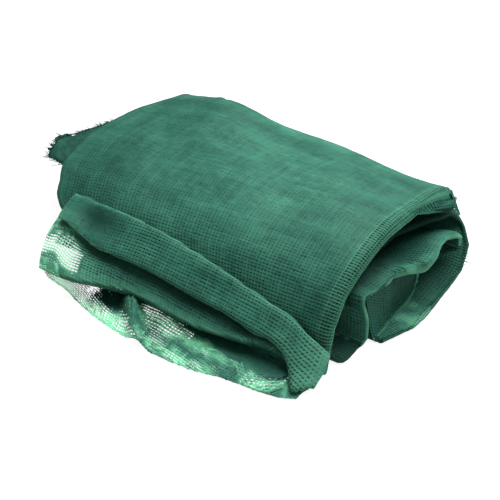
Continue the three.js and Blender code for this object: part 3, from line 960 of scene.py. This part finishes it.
# Painted shade towards the wrap's left end and on its inner side, less of both on the top.
at_left = rise(wrap_x, SHADED_LEFT, -SHADED_REACH)
left_painted_shade = (WRAP_LEFT_TOP_PAINTED_LIGHT * on_top + WRAP_LEFT_PAINTED_SHADE) * at_left
wrap_painted_tone = np.where(wrap_inside, WRAP_INNER_TOP_PAINTED_LIGHT * on_top + WRAP_INNER_PAINTED_SHADE, left_painted_shade)
# Painted shade on the top towards its right end.
at_right = rise(wrap_x, SHADED_RIGHT, SHADED_REACH) * on_top
# A line of painted shade near the top's back edge, and painted light on the rim at the very back.
back_dip = hump(wrap_y, BACK_DIP_Y, BACK_DIP_REACH) * on_top
back_rim = rise(wrap_y, BACK_RIM_FROM, BACK_RIM_REACH)
back_painted_tone = BACK_RIM_PAINTED_LIGHT * back_rim + BACK_DIP_PAINTED_SHADE * back_dip
# Painted light and shade follow the pulled waves of the front.
outer_painted_tone = back_painted_tone + WRAP_RIGHT_PAINTED_SHADE * at_right + PULL_PAINTED_LIGHT_AND_SHADE * pulled
wrap_painted_tone = wrap_painted_tone + np.where(wrap_inside, 0.0, outer_painted_tone)
rolled = wrap_lip > 0.0
ribbed = (rolled | np.roll(rolled, -RIB_COLUMNS, axis=1)) & ~wrap_inside
# Painted light on the ribs of the rolled lip, a painted highlight at its very edge, and painted shade on its
# inner side.
wrap_opening = np.where(ribbed, RIB_OPENING, wrap_opening)
wrap_painted_tone = np.where(ribbed, RIB_PAINTED_LIGHT, wrap_painted_tone)
wrap_painted_tone = np.where(rolled & wrap_inside, RIB_INNER_PAINTED_SHADE, wrap_painted_tone)
wrap_painted_tone = np.where(wrap_lip >= 1.0, RIB_END_PAINTED_HIGHLIGHT, wrap_painted_tone)
knitted_piece("net_wrap", wrap_points, wrap_u, wrap_v, wrap_opening, WRAP_SEED, wrap_painted_tone)

# Corner of the wrap
# At the back of the open end the wrap's corner is not turned in with the rest and hangs down loose.
# It is the same mesh, with a little painted shade, and a painted highlight along the line where it leaves
# the top.
CORNER_STATIONS = [
    (0, 176, 99, 3, 186, 90),
    (3, 195, 97, 9, 202, 84),
    (8, 225, 94, 18, 226, 76),
    (12, 245, 90, 25, 245, 66),
    (14, 258, 87, 28, 258, 57),
]
CORNER_SEED = 45
CORNER_OPENING = 0.2
CORNER_PAINTED_SHADE = -0.1
CORNER_RIM = 2
CORNER_RIM_PAINTED_HIGHLIGHT = 0.12
CORNER_HEM = 3

corner_points = hung_points(CORNER_STATIONS, columns=22, rows=8, bow=0.0, curl=3.0)
corner_u, corner_v = flat_sizes(corner_points)
corner_points = uneven(corner_points, corner_u, corner_v, CORNER_SEED, wave=0.8, wrinkle=0.6, jitter=0.10)
corner_opening = openings(corner_u, corner_v, CORNER_SEED, CORNER_OPENING)
corner_opening[:CORNER_RIM] = 0.0
corner_opening[:, -CORNER_HEM:] = 0.0
corner_painted_tone = np.full(corner_u.shape, CORNER_PAINTED_SHADE)
corner_painted_tone[:CORNER_RIM] = CORNER_RIM_PAINTED_HIGHLIGHT
knitted_piece(
    "net_corner", corner_points, corner_u, corner_v, corner_opening, CORNER_SEED, corner_painted_tone)

# Loose end
# The strip's outer end: an apron on the floor, a pleat on it, and the flap turned over them against
# the pack's front. It is the same knitted mesh, and the floor shows through where it is pulled open
# or lies single. Places along its section are counted in folds of its table, from 0 at the hem.
TAIL_SEED = 50
TAIL_OPENING = 0.24
CLOSED_OPENING = 0.1
TAIL_THICKNESS = 2.0
FLAP_CLEARANCE = 2.0
ROWS_FROM = 15
ROW_SLANT = 0.14
CORNER_SPREAD = 0.3
CORNER_FROM = -75.0

APRON_INNER = 2.0
PLEAT_FROM = 3.2
DISTORTION = 1.6
HEM_WIDTH = 0.1
HEM_STIFF = 0.4
TOE_LEFT = -32.0
UNDER_LEFT = -150.0
UNDER_FROM = 1.5
DOUBLED_FROM = 6.6
SINGLE_LEFT = -285.0
SINGLE_RAGGED = 12.0
SINGLE_OPENING = 0.62
APRON_OPENING = 0.36
APRON_RIGHT_FROM = -200.0
APRON_RIGHT_REACH = 60.0
APRON_RIGHT_CLOSED = 0.18
APRON_ROOT_FROM = 0.7
APRON_ROOT_CLOSED = 0.35
APRON_PAINTED_SHADE = -0.06
APRON_TOE_PAINTED_LIGHT = 0.25
GRAIN_TONE = 0.5
GRAIN_LEAST = 0.25
HOLE = (-289.0, -16.0)
HOLE_SIZE = (3.2, 6.0)

PINCH_FOOT = (-198.0, -54.0)
PINCH_TOP = (-230.0, -20.0)
PINCH_HEIGHT = 21.0
PINCH_LOW = 0.35
PINCH_REACH = 7.0
PINCH_SEEN = 0.3
PINCH_PAINTED_LIGHT = 0.07
POCKET = (-256.0, -17.0)
POCKET_SIZE = (26.0, 15.0)
POCKET_PAINTED_SHADE = -0.8

PLEAT_EDGE = (5.6, 7.5)
PLEAT_TOP = (7.0, 10.5)
PLEAT_PAINTED_LIGHT = 0.04
PLEAT_SHADE = 0.5
PLEAT_SHADE_FROM = 7.4
PLEAT_SHADE_REACH = 0.8
PLEAT_SHADE_LEFT = -280.0
PLEAT_SHADE_LONG = 60.0
BULGE_LEFT = -312.0
BULGE_PAINTED_LIGHT = 0.08
SPECKLE_PAINTED_LIGHT = 0.5
SPECKLE_GAIN = 1.6

FLAP_FROM = 11.0
FLAP_TOP = 15.8
FLAP_BACK_OPENING = 0.36
FLAP_LEFT = -255.0
FLAP_LEFT_REACH = 40.0
FLAP_LEFT_CLOSED = 0.7
FLAP_LEFT_PAINTED_LIGHT = 0.04
FLAP_TOE_PAINTED_LIGHT = 0.08
RIGHT_RIM = 3
PAINTED_RIM_HIGHLIGHTS = [(6.95, 0.22, 2.2), (12.6, 0.45, 1.0), (15.5, 0.35, 1.0)]
RIM_PAINTED_HIGHLIGHT = 0.1
LEFT_LIP = 12.85
LEFT_LIP_REACH = 0.55
LEFT_LIP_PAINTED_HIGHLIGHT = 0.2
TOE_LIP = 12.8
TOE_LIP_REACH = 0.7
TOE_LIP_PAINTED_HIGHLIGHT = 0.14
HOLLOW_X = -308.0
HOLLOW_FOLD = 14.15
HOLLOW_LONG = 32.0
HOLLOW_WIDE = 0.75
HOLLOW_IN = 4.0
HOLLOW_DOWN = 3.0
HOLLOW_SHADE = 1.1

WINDOW_FOLDS = (7.0, 9.0)
WINDOW_RAGGED = 3.0
WINDOW_SEEN = 0.1
WINDOW_OPENING = 0.3
WINDOW_WIDER = 0.52
BEHIND_WINDOW = (3.0, 7.0)
BEHIND_WINDOW_LEFT = -310.0
BEHIND_WINDOW_OPENING = 0.8
BEHIND_WINDOW_PAINTED_LIGHT = 0.7
WINDOW_CORNERS = [
    (-358.0, -20.0), (-350.0, -15.0), (-336.0, -3.0), (-310.0, -5.0), (-305.0, -18.0), (-294.0, -35.0),
    (-307.0, -31.0), (-332.0, -23.0),
]
PALE_STRIPS = [
    ([(-330.0, -27.0), (-287.0, -39.0), (-258.0, -46.0), (-212.0, -52.0)], 15.0, 1.0),
    ([(-217.0, -19.0), (-190.0, -21.0), (-159.0, -27.0), (-133.0, -29.0)], 9.0, 1.0),
    ([(-193.0, -56.0), (-163.0, -57.0), (-134.0, -62.0), (-104.0, -58.0)], 9.0, 0.6),
    ([(-128.0, -30.0), (-103.0, -36.0), (-74.0, -35.0)], 6.0, 0.55),
    ([(-66.0, -50.0), (-52.0, -47.0), (-34.0, -39.0)], 8.0, 0.85),
]
SHADE_PATH = [(-150.0, -14.0), (-125.0, -18.0), (-83.0, -19.0), (-62.0, -23.0), (-40.0, -22.0)]
SHADE_REACH = 15.0
SHADE_SEEN = 0.1
SHADE_TONE = -0.5
STRIP_RAGGED = 0.35
STRIP_EDGE = 0.3
PALE_SEEN = 0.3
PALE_OPENING = 0.4
PALE_RIGHT_WIDER = 0.06
PALE_PAINTED_LIGHT = 0.95
FRONT_COLUMNS = "x hem pleat_y pleat_z lip_y lip_z edge_z"
FRONT_STATIONS = [
    (8, -20, -12, 5.5, -18, 4, 19),
    (-4, -38, -13, 5.5, -32, 4, 22.5),
    (-13, -47, -13, 5.5, -40, 4.2, 27),
    (-25, -54, -13, 6, -26, 4.8, 32),
    (-32, -55, -12, 6.5, -16, 9, 35),
    (-39, -56, -10, 7, -11, 15, 38),
    (-47, -57, -9, 9, -8, 22, 40.5),
    (-59, -58, -9, 13, -7, 26.5, 43),
    (-73, -59, -12, 17, -8, 27, 45),
    (-87, -60, -17, 17, -6, 29, 48),
    (-111, -65, -20, 16, -4, 34, 52.5),
    (-138, -68, -23, 16.5, -3, 36.5, 57),
    (-167, -67, -24, 18, -1, 39, 60),
    (-196, -63, -23, 22, 1, 43, 62.5),
    (-226, -58, -20, 23, 2, 45, 65.5),
    (-258, -51, -28, 25, 2, 47, 68),
    (-291, -40, -39, 27, 3, 48.5, 68.5),
    (-312, -32, -42, 28, 8, 51, 68),
    (-332, -28, -41, 28, 11, 58, 67),
    (-345, -27, -40, 28, 13, 60, 66),
    (-400, -25, -36, 28, 14, 61, 65),
]
TAIL_COLUMNS = "name right left"
TAIL_ENDS = [
    ("hem", -14, -340),
    ("apron", -14, -355),
    ("apronRoot", -12, -364),
    ("rootTurnIn", -12, -372),
    ("rootTurnOut", -12, -372),
    ("pleatUnder", -16, -356),
    ("pleatEdgeIn", -22, -337),
    ("pleatEdgeOut", -22, -337),
    ("pleatOver", -16, -353),
    ("pleatTurnIn", -10, -357),
    ("pleatTurnOut", -9, -356),
    ("flapUnder", 0, -350),
    ("flapLipIn", 2, -341),
    ("flapLipOut", 4, -345),
    ("flapFace", 5, -351),
    ("flapEdgeIn", 3, -352),
    ("flapEdgeOut", 1, -352),
    ("flapBackHigh", 1, -350),
    ("flapBackLow", 1, -352),
    ("flapFoot", 1, -358),
]


def between(keys, values, at):
    # The value at any place between the rows, on a smooth curve through them.
    count = len(keys)
    shape = (count,) + np.shape(at)

    def widened(rows):
        return np.broadcast_to(np.reshape(rows, np.shape(rows) + (1,) * (len(shape) - np.ndim(rows))), shape)

    keys = widened(keys)
    values = widened(values)
    sense = np.sign(keys[-1] - keys[0])
    i = (sense * keys[1:-1] < sense * at).sum(axis=0)

    def pick(rows, k):
        return np.take_along_axis(rows, k[None], 0)[0]

    def slope(k):
        before = np.maximum(k - 1, 0)
        after = np.minimum(k + 1, count - 1)
        return (pick(values, after) - pick(values, before)) / (pick(keys, after) - pick(keys, before))

    span = pick(keys, i + 1) - pick(keys, i)
    f = rise(at, pick(keys, i), span)
    return blend(f, pick(values, i), span * slope(i), pick(values, i + 1), span * slope(i + 1))


WRAP_FRONT = [
    number for number, row in enumerate(WRAP_FOLDS)
    if row[0] in ("footOut", "shin", "front", "shoulder", "topFront")
]


def off_front(x, z, distance):
    # A place outside the wrap's front, at a given height of it and a given distance off it.
    profile = np.stack([wrap_place(k, x) for k in WRAP_FRONT])
    y = between(profile[..., 1], profile[..., 0], z)
    lean = between(profile[..., 1], profile[..., 0], z + 1.0) - y
    length = np.hypot(lean, 1.0)
    return y - distance / length, z + distance * lean / length


front = table(FRONT_COLUMNS, FRONT_STATIONS)


def tail_folds(x):
    # The places of the loose end's folds at stations x, in the order of the table of its ends. Steps
    # between folds that lie on each other are in plies, each with the room that it needs.
    hem, pleat_y, pleat_z, lip_y, lip_z, edge_z = (
        between(front["x"], front[name], x) for name in FRONT_COLUMNS.split()[1:])
    floor = np.full_like(x, 0.5 * TAIL_THICKNESS)
    ply = TAIL_THICKNESS + FLAP_CLEARANCE
    behind = 0.5 * (PLY_GAP + TAIL_THICKNESS) + FLAP_CLEARANCE
    root = off_front(x, np.full_like(x, ply), behind)[0] - 1.3 * ply
    fold_z = np.maximum(lip_z - 2.2 * ply, pleat_z + 0.8 * ply)
    turn_in = off_front(x, fold_z - 0.2 * ply, behind + 1.3 * ply)
    turn_out = off_front(x, fold_z + ply, behind + 1.3 * ply)
    sag = 0.8 * np.maximum(turn_out[1] - lip_z - 1.5 * ply, 0.0)
    foot_z = np.maximum(0.34 * edge_z, 2.1 * ply)
    edge = off_front(x, edge_z, behind)
    edge_out = off_front(x, edge_z - 0.4 * ply, behind + ply)
    face = (
        0.5 * (lip_y + edge_out[0]) - 0.6 * ply,
        0.5 * (lip_z + edge_out[1]) + 0.6 * ply,
    )
    places = [
        (hem, floor),
        (0.6 * hem + 0.4 * root, floor),
        (0.25 * hem + 0.75 * root, floor),
        (root, floor + 0.1 * ply),
        (root, floor + ply),
        (0.5 * (root + pleat_y), floor + ply + 0.35 * (pleat_z - 1.4 * ply - floor)),
        (pleat_y, pleat_z - 0.4 * ply),
        (pleat_y, pleat_z + 0.5 * ply),
        (0.5 * (turn_in[0] + pleat_y), 0.5 * (pleat_z + turn_in[1] + 1.2 * ply)),
        turn_in,
        turn_out,
        (0.45 * turn_out[0] + 0.55 * lip_y, np.maximum(lip_z, turn_out[1] - sag) - 0.1 * ply),
        (lip_y - 0.7 * ply, lip_z - 0.05 * ply),
        (lip_y - 1.3 * ply, lip_z + 0.75 * ply),
        face,
        edge_out,
        edge,
        off_front(x, (2.0 * edge_z + foot_z) / 3.0, behind),
        off_front(x, (edge_z + 2.0 * foot_z) / 3.0, behind),
        off_front(x, foot_z, behind),
    ]
    return np.stack([np.stack(place, -1) for place in places])


def tail_place(k, x):
    # The place (y, z) of the loose end's folds at stations x.
    folds = tail_folds(np.asarray(x, float))
    k = np.broadcast_to(k, np.shape(x))
    return np.take_along_axis(folds, k[None, ..., None], 0)[0]


def corner_spread(x):
    # The rows of the knit lie farther apart towards the loose end's right corner.
    return 1.0 + CORNER_SPREAD * rise(x, CORNER_FROM, -CORNER_FROM)


tail_ends = table(TAIL_COLUMNS, TAIL_ENDS)
tail_count = len(TAIL_ENDS)
tail_steps = round(float(np.mean(tail_ends["right"] - tail_ends["left"])) / PITCH_ALONG)
tail_s = row_places(
    tail_place, tail_ends["left"], tail_ends["right"], tail_steps, ROWS_FROM, ROW_SLANT, corner_spread)
tail_number = np.arange(tail_count)
tail_right = np.interp(tail_s, tail_number, tail_ends["right"])
tail_left = np.interp(tail_s, tail_number, tail_ends["left"])
tail_x = tail_left + (tail_right - tail_left) * np.arange(tail_steps + 1) / tail_steps
tail_yz = fold_curve(tail_place, tail_count, tail_s, tail_x)
tail_points = np.concatenate([tail_x[..., None], tail_yz], -1)

# A pinch of the apron stands up like a narrow tent, from the hem to the edge of the pleat above it.
pinch_run = np.array(PINCH_TOP) - np.array(PINCH_FOOT)
pinch_length = float(np.hypot(*pinch_run))
from_foot = tail_points[..., :2] - np.array(PINCH_FOOT)
pinch_share = np.clip(from_foot @ pinch_run / pinch_length ** 2, 0.0, 1.0)
pinch_away = (from_foot[..., 0] * pinch_run[1] - from_foot[..., 1] * pinch_run[0]) / pinch_length
pinch = (PINCH_LOW + (1.0 - PINCH_LOW) * pinch_share) * hump(pinch_away, 0.0, PINCH_REACH)
pinch = np.where(tail_s < APRON_INNER, pinch, 0.0)
pinched = pinch > PINCH_SEEN
tail_points[..., 2] += PINCH_HEIGHT * pinch

# The flap's left end is hollow behind its rim, where it is only laid over and not pulled flat.
hollow = hump(tail_x, HOLLOW_X, HOLLOW_LONG) * hump(tail_s, HOLLOW_FOLD, HOLLOW_WIDE)
tail_points[..., 1] += HOLLOW_IN * hollow
tail_points[..., 2] -= HOLLOW_DOWN * hollow

tail_u, tail_v = flat_sizes(tail_points)
tail_points = uneven(tail_points, tail_u, tail_v, TAIL_SEED, wave=0.9, wrinkle=0.6, jitter=0.12)
on_apron = tail_s < PLEAT_FROM
pulled_askew = np.where(on_apron, DISTORTION * rise(tail_s, 0.0, HEM_STIFF), 0.0)
tail_points[..., 0] += pulled_askew * soft_noise(tail_u, tail_v, size=(17.0, 13.0), seed=58)
tail_points[..., 1] += pulled_askew * soft_noise(tail_u, tail_v, size=(15.0, 14.0), seed=59)
tail_places = tail_points[..., :2]


def within(points, corners):
    # Which points lie inside a closed line of corners.
    odd = np.zeros(points.shape[:-1], bool)
    for start, end in zip(corners, corners[1:] + corners[:1]):
        passed = (start[1] > points[..., 1]) != (end[1] > points[..., 1])
        share = (points[..., 1] - start[1]) / (end[1] - start[1])
        odd ^= passed & (points[..., 0] < start[0] + share * (end[0] - start[0]))
    return odd


def in_oval(points, middle, size):
    # Which points lie inside an oval, given the half lengths of its two axes.
    return np.hypot((points[..., 0] - middle[0]) / size[0], (points[..., 1] - middle[1]) / size[1]) < 1.0


# The light floor shows through the apron in a few strips, where its plies are pulled open, and the yarn on
# these strips gets painted light.
ragged = soft_noise(tail_u, tail_v, size=(11.0, 7.0), seed=57)
pale = np.zeros(tail_x.shape)
for path, reach, strength in PALE_STRIPS:
    strip = line_share(tail_places, path, reach)
    pale = np.maximum(pale, np.where(strip + STRIP_RAGGED * ragged > STRIP_EDGE, strength, 0.0))
pale = blurred(np.where(on_apron & ~pinched, pale, 0.0), times=3)
shade = np.where(on_apron, line_share(tail_places, SHADE_PATH, SHADE_REACH), 0.0) * (pale < PALE_SEEN)
uneven_places = tail_places + WINDOW_RAGGED * ragged[..., None]
window = among(tail_s, WINDOW_FOLDS) & within(uneven_places, WINDOW_CORNERS)
window_share = blurred(np.where(window, 1.0, 0.0), times=2)
window = window_share > WINDOW_SEEN
behind_window = among(tail_s, BEHIND_WINDOW) & (tail_x < BEHIND_WINDOW_LEFT)
pocket_places = np.stack([tail_x, tail_points[..., 1]], -1)
pocket = in_oval(pocket_places, POCKET, POCKET_SIZE) & on_apron & (pale < PALE_SEEN)
hole = in_oval(tail_points, HOLE, HOLE_SIZE) & on_apron
flap_left = rise(tail_x, FLAP_LEFT, -FLAP_LEFT_REACH) * (tail_s > FLAP_FROM)
single = on_apron & (tail_x < SINGLE_LEFT + SINGLE_RAGGED * ragged)
under_pleat = among(tail_s, (UNDER_FROM, DOUBLED_FROM)) & (tail_x > UNDER_LEFT)
bulge = among(tail_s, (DOUBLED_FROM, FLAP_FROM)) & (tail_x < BULGE_LEFT)
tall = np.diff(tail_s, axis=0, append=tail_s[-1:]) > 1e-6
tall[:, :-1] |= tall[:, 1:]

# How open the knit is, from the apron to the flap.
apron_right = rise(tail_x, APRON_RIGHT_FROM, APRON_RIGHT_REACH)
apron_opening = APRON_OPENING - APRON_RIGHT_CLOSED * apron_right
apron_opening = apron_opening + (PALE_OPENING + PALE_RIGHT_WIDER * apron_right) * pale
apron_root = rise(tail_s, APRON_ROOT_FROM, 1.0)
apron_opening = apron_opening * (1.0 - APRON_ROOT_CLOSED * apron_root * (1.0 - pale))
apron_opening = np.where(single, SINGLE_OPENING, apron_opening)
apron_opening = np.where((shade > SHADE_SEEN) | (tail_x > TOE_LEFT), 0.0, apron_opening)
tail_opening = openings(tail_u, tail_v, TAIL_SEED, TAIL_OPENING)
tail_opening = np.where(among(tail_s, PLEAT_EDGE), CLOSED_OPENING, tail_opening)
tail_opening = tail_opening * (1.0 - FLAP_LEFT_CLOSED * flap_left)
tail_opening = np.where(on_apron, apron_opening, tail_opening)
tail_opening = np.where(under_pleat, 0.0, tail_opening)
tail_opening = np.where(pocket | pinched | (tail_s < HEM_WIDTH), CLOSED_OPENING, tail_opening)
right_rim = np.arange(tail_steps + 1) > tail_steps - RIGHT_RIM
tail_opening = np.where(bulge | (right_rim & ~on_apron), CLOSED_OPENING, tail_opening)
tail_opening = np.where(window, WINDOW_OPENING + WINDOW_WIDER * window_share, tail_opening)
tail_opening = np.where(behind_window, BEHIND_WINDOW_OPENING, tail_opening)
tail_opening = np.where((tail_s > FLAP_TOP) & (tail_x < BULGE_LEFT), FLAP_BACK_OPENING, tail_opening)
tail_opening = np.where(tall & ~hole, tail_opening, DROPPED)

# How light the knit is, all painted into its colour: painted light on the apron's pale strips, painted shade
# in its shaded zone, painted highlights on the rims, and painted shade in the hollows.
apron_painted_tone = np.where(shade > 0.0, SHADE_TONE * shade, PALE_PAINTED_LIGHT * pale + APRON_PAINTED_SHADE)
# Random grain, partly the yarn's own uneven tone and partly unevenness in the painted light, strongest on
# the pale strips.
grain = soft_noise(tail_u, tail_v, size=(4.0, 2.5), seed=55)
apron_painted_tone = apron_painted_tone + GRAIN_TONE * grain * np.clip(pale + GRAIN_LEAST, 0.0, 1.0) * (shade <= 0.0)
# A little painted light on the flap's left end.
tail_painted_tone = np.where(on_apron, apron_painted_tone, FLAP_LEFT_PAINTED_LIGHT * flap_left)
speckled = np.clip(SPECKLE_GAIN * soft_noise(tail_u, tail_v, size=(5.0, 4.0), seed=56), 0.0, 1.0)
# Painted light on the loose bulge at the left, in random speckles.
tail_painted_tone = np.where(bulge, BULGE_PAINTED_LIGHT + SPECKLE_PAINTED_LIGHT * speckled, tail_painted_tone)
# Painted light on the stretched window and on the plies behind it.
tail_painted_tone = np.where(window, window_share, tail_painted_tone)
tail_painted_tone = np.where(behind_window, BEHIND_WINDOW_PAINTED_LIGHT, tail_painted_tone)
# Painted highlights along the pleat's edge, the flap's lower and upper edges, and the flap's rolled left
# lip.
rim_highlights = sum(strength * hump(tail_s, fold, reach) for fold, reach, strength in PAINTED_RIM_HIGHLIGHTS)
left_lip_highlight = hump(tail_s, LEFT_LIP, LEFT_LIP_REACH) * flap_left
tail_painted_tone = tail_painted_tone + np.where(on_apron | window, 0.0, RIM_PAINTED_HIGHLIGHT * rim_highlights + LEFT_LIP_PAINTED_HIGHLIGHT * left_lip_highlight)
# Painted shade on the pleat's upper side under the flap, and a little painted light elsewhere on it.
pleat_shade = PLEAT_SHADE * rise(tail_s, PLEAT_SHADE_FROM, PLEAT_SHADE_REACH)
pleat_shade = pleat_shade * rise(tail_x, PLEAT_SHADE_LEFT, PLEAT_SHADE_LONG)
on_pleat = among(tail_s, PLEAT_TOP) & ~window & ~bulge
tail_painted_tone = tail_painted_tone + np.where(on_pleat, PLEAT_PAINTED_LIGHT - pleat_shade, 0.0)
# Painted light towards the loose end's right corner, with a painted highlight on the flap's lip there.
at_toe = rise(tail_x, CORNER_FROM, -CORNER_FROM)
flap_toe_painted_light = FLAP_TOE_PAINTED_LIGHT + TOE_LIP_PAINTED_HIGHLIGHT * hump(tail_s, TOE_LIP, TOE_LIP_REACH)
toe_painted_light = np.where(on_apron, APRON_TOE_PAINTED_LIGHT, np.where(tail_s > FLAP_FROM, flap_toe_painted_light, 0.0))
tail_painted_tone = tail_painted_tone + at_toe * toe_painted_light
# A little painted light on the pinch.
tail_painted_tone = np.where(pinched, PINCH_PAINTED_LIGHT, tail_painted_tone)
# Painted shade in the pocket under the pleat and in the flap's hollow.
tail_painted_tone = np.where(pocket, POCKET_PAINTED_SHADE, tail_painted_tone) - HOLLOW_SHADE * hollow
knitted_piece(
    "net_loose", tail_points, tail_u, tail_v, tail_opening, TAIL_SEED, tail_painted_tone)

# Inner ply of the loose end
# A second ply of the same mesh lies on the apron, skewed against the first, except at the far left.
# It goes on inside the pleat and the flap, whose cloth is double there.
LINING_SEED = 60
LINING_GAP = 1.6
LINING_FROM = 8.4
LINING_PAINTED_SHADE = -0.35
LINING_BULGE_PAINTED_LIGHT = 0.1
APRON_GAP = 0.9
APRON_SKEW = 0.13
SECOND_DISTORTION = 1.5

inner_gap = LINING_GAP * np.where(on_apron, 0.0, 1.0)[..., None]
second_points = tail_points - inner_gap * sheet_normals(tail_points)
second_points[..., 2] += np.where(on_apron, APRON_GAP, 0.0)
second_points[..., 0] += np.where(on_apron, APRON_SKEW * (tail_v - tail_v.min()), 0.0)
second_points[..., 0] += pulled_askew * soft_noise(tail_u, tail_v, size=(12.0, 9.0), seed=68)
second_askew = SECOND_DISTORTION * pulled_askew
second_points[..., 1] += second_askew * soft_noise(tail_u, tail_v, size=(11.0, 10.0), seed=69)
second_opening = np.where(on_apron & ~under_pleat, apron_opening, 0.0)
second_opening = np.where(pocket | pinched, CLOSED_OPENING, second_opening)
lined = among(tail_s, (DOUBLED_FROM, FLAP_TOP)) & ((tail_x > BULGE_LEFT) | (tail_s > LINING_FROM))
second_kept = ((on_apron & ~single) | (lined & ~window)) & tall & ~hole
second_opening = np.where(second_kept, second_opening, DROPPED)
# Painted shade on the lining inside the pleat and the flap, painted light in the bulge, and on the apron the
# same painted tone as the first ply.
lining_painted_tone = np.where(bulge, LINING_BULGE_PAINTED_LIGHT, LINING_PAINTED_SHADE)
second_painted_tone = np.where(on_apron, np.where(pocket, POCKET_PAINTED_SHADE, apron_painted_tone), lining_painted_tone)
second_u, second_v = flat_sizes(second_points)
knitted_piece(
    "net_loose_inner_ply", second_points, second_u, second_v, second_opening, LINING_SEED,
    second_painted_tone)

# Floor
# A plain white studio floor, lit a little from below like a light table, so that no shadow is deep on it.
FLOOR_HALF = 6.0
floor_mesh = bpy.data.meshes.new("floor")
floor_mesh.from_pydata(
    [(sx * FLOOR_HALF, sy * FLOOR_HALF, 0.0) for sx, sy in ((-1, -1), (1, -1), (1, 1), (-1, 1))],
    [], [(0, 1, 2, 3)])
floor = bpy.data.objects.new("floor", floor_mesh)
bpy.context.scene.collection.objects.link(floor)
floor_white = bpy.data.materials.new("floor_white")
floor_white.use_nodes = True
floor_inputs = floor_white.node_tree.nodes["Principled BSDF"].inputs
floor_inputs["Base Color"].default_value = (0.15, 0.15, 0.15, 1.0)
floor_inputs["Roughness"].default_value = 0.8
floor_inputs["Emission Color"].default_value = (1.0, 1.0, 1.0, 1.0)
floor_inputs["Emission Strength"].default_value = 0.9
floor_mesh.materials.append(floor_white)

# Studio light
# A broad soft light above and a little behind the pack, with an even white room around it.
scene = bpy.context.scene
scene.view_settings.view_transform = "Standard"
world = bpy.data.worlds.new("studio")
world.use_nodes = True
room_inputs = world.node_tree.nodes["Background"].inputs
room_inputs["Color"].default_value = (1.0, 1.0, 1.0, 1.0)
room_inputs["Strength"].default_value = 0.44
scene.world = world
key_data = bpy.data.lights.new("key", "AREA")
key_data.shape = "DISK"
key_data.size = 1.4
key_data.energy = 64.0
key = bpy.data.objects.new("key", key_data)
key.location = (0.2, 0.58, 1.35)
key.rotation_euler = Vector(key.location).to_track_quat("Z", "Y").to_euler()
scene.collection.objects.link(key)
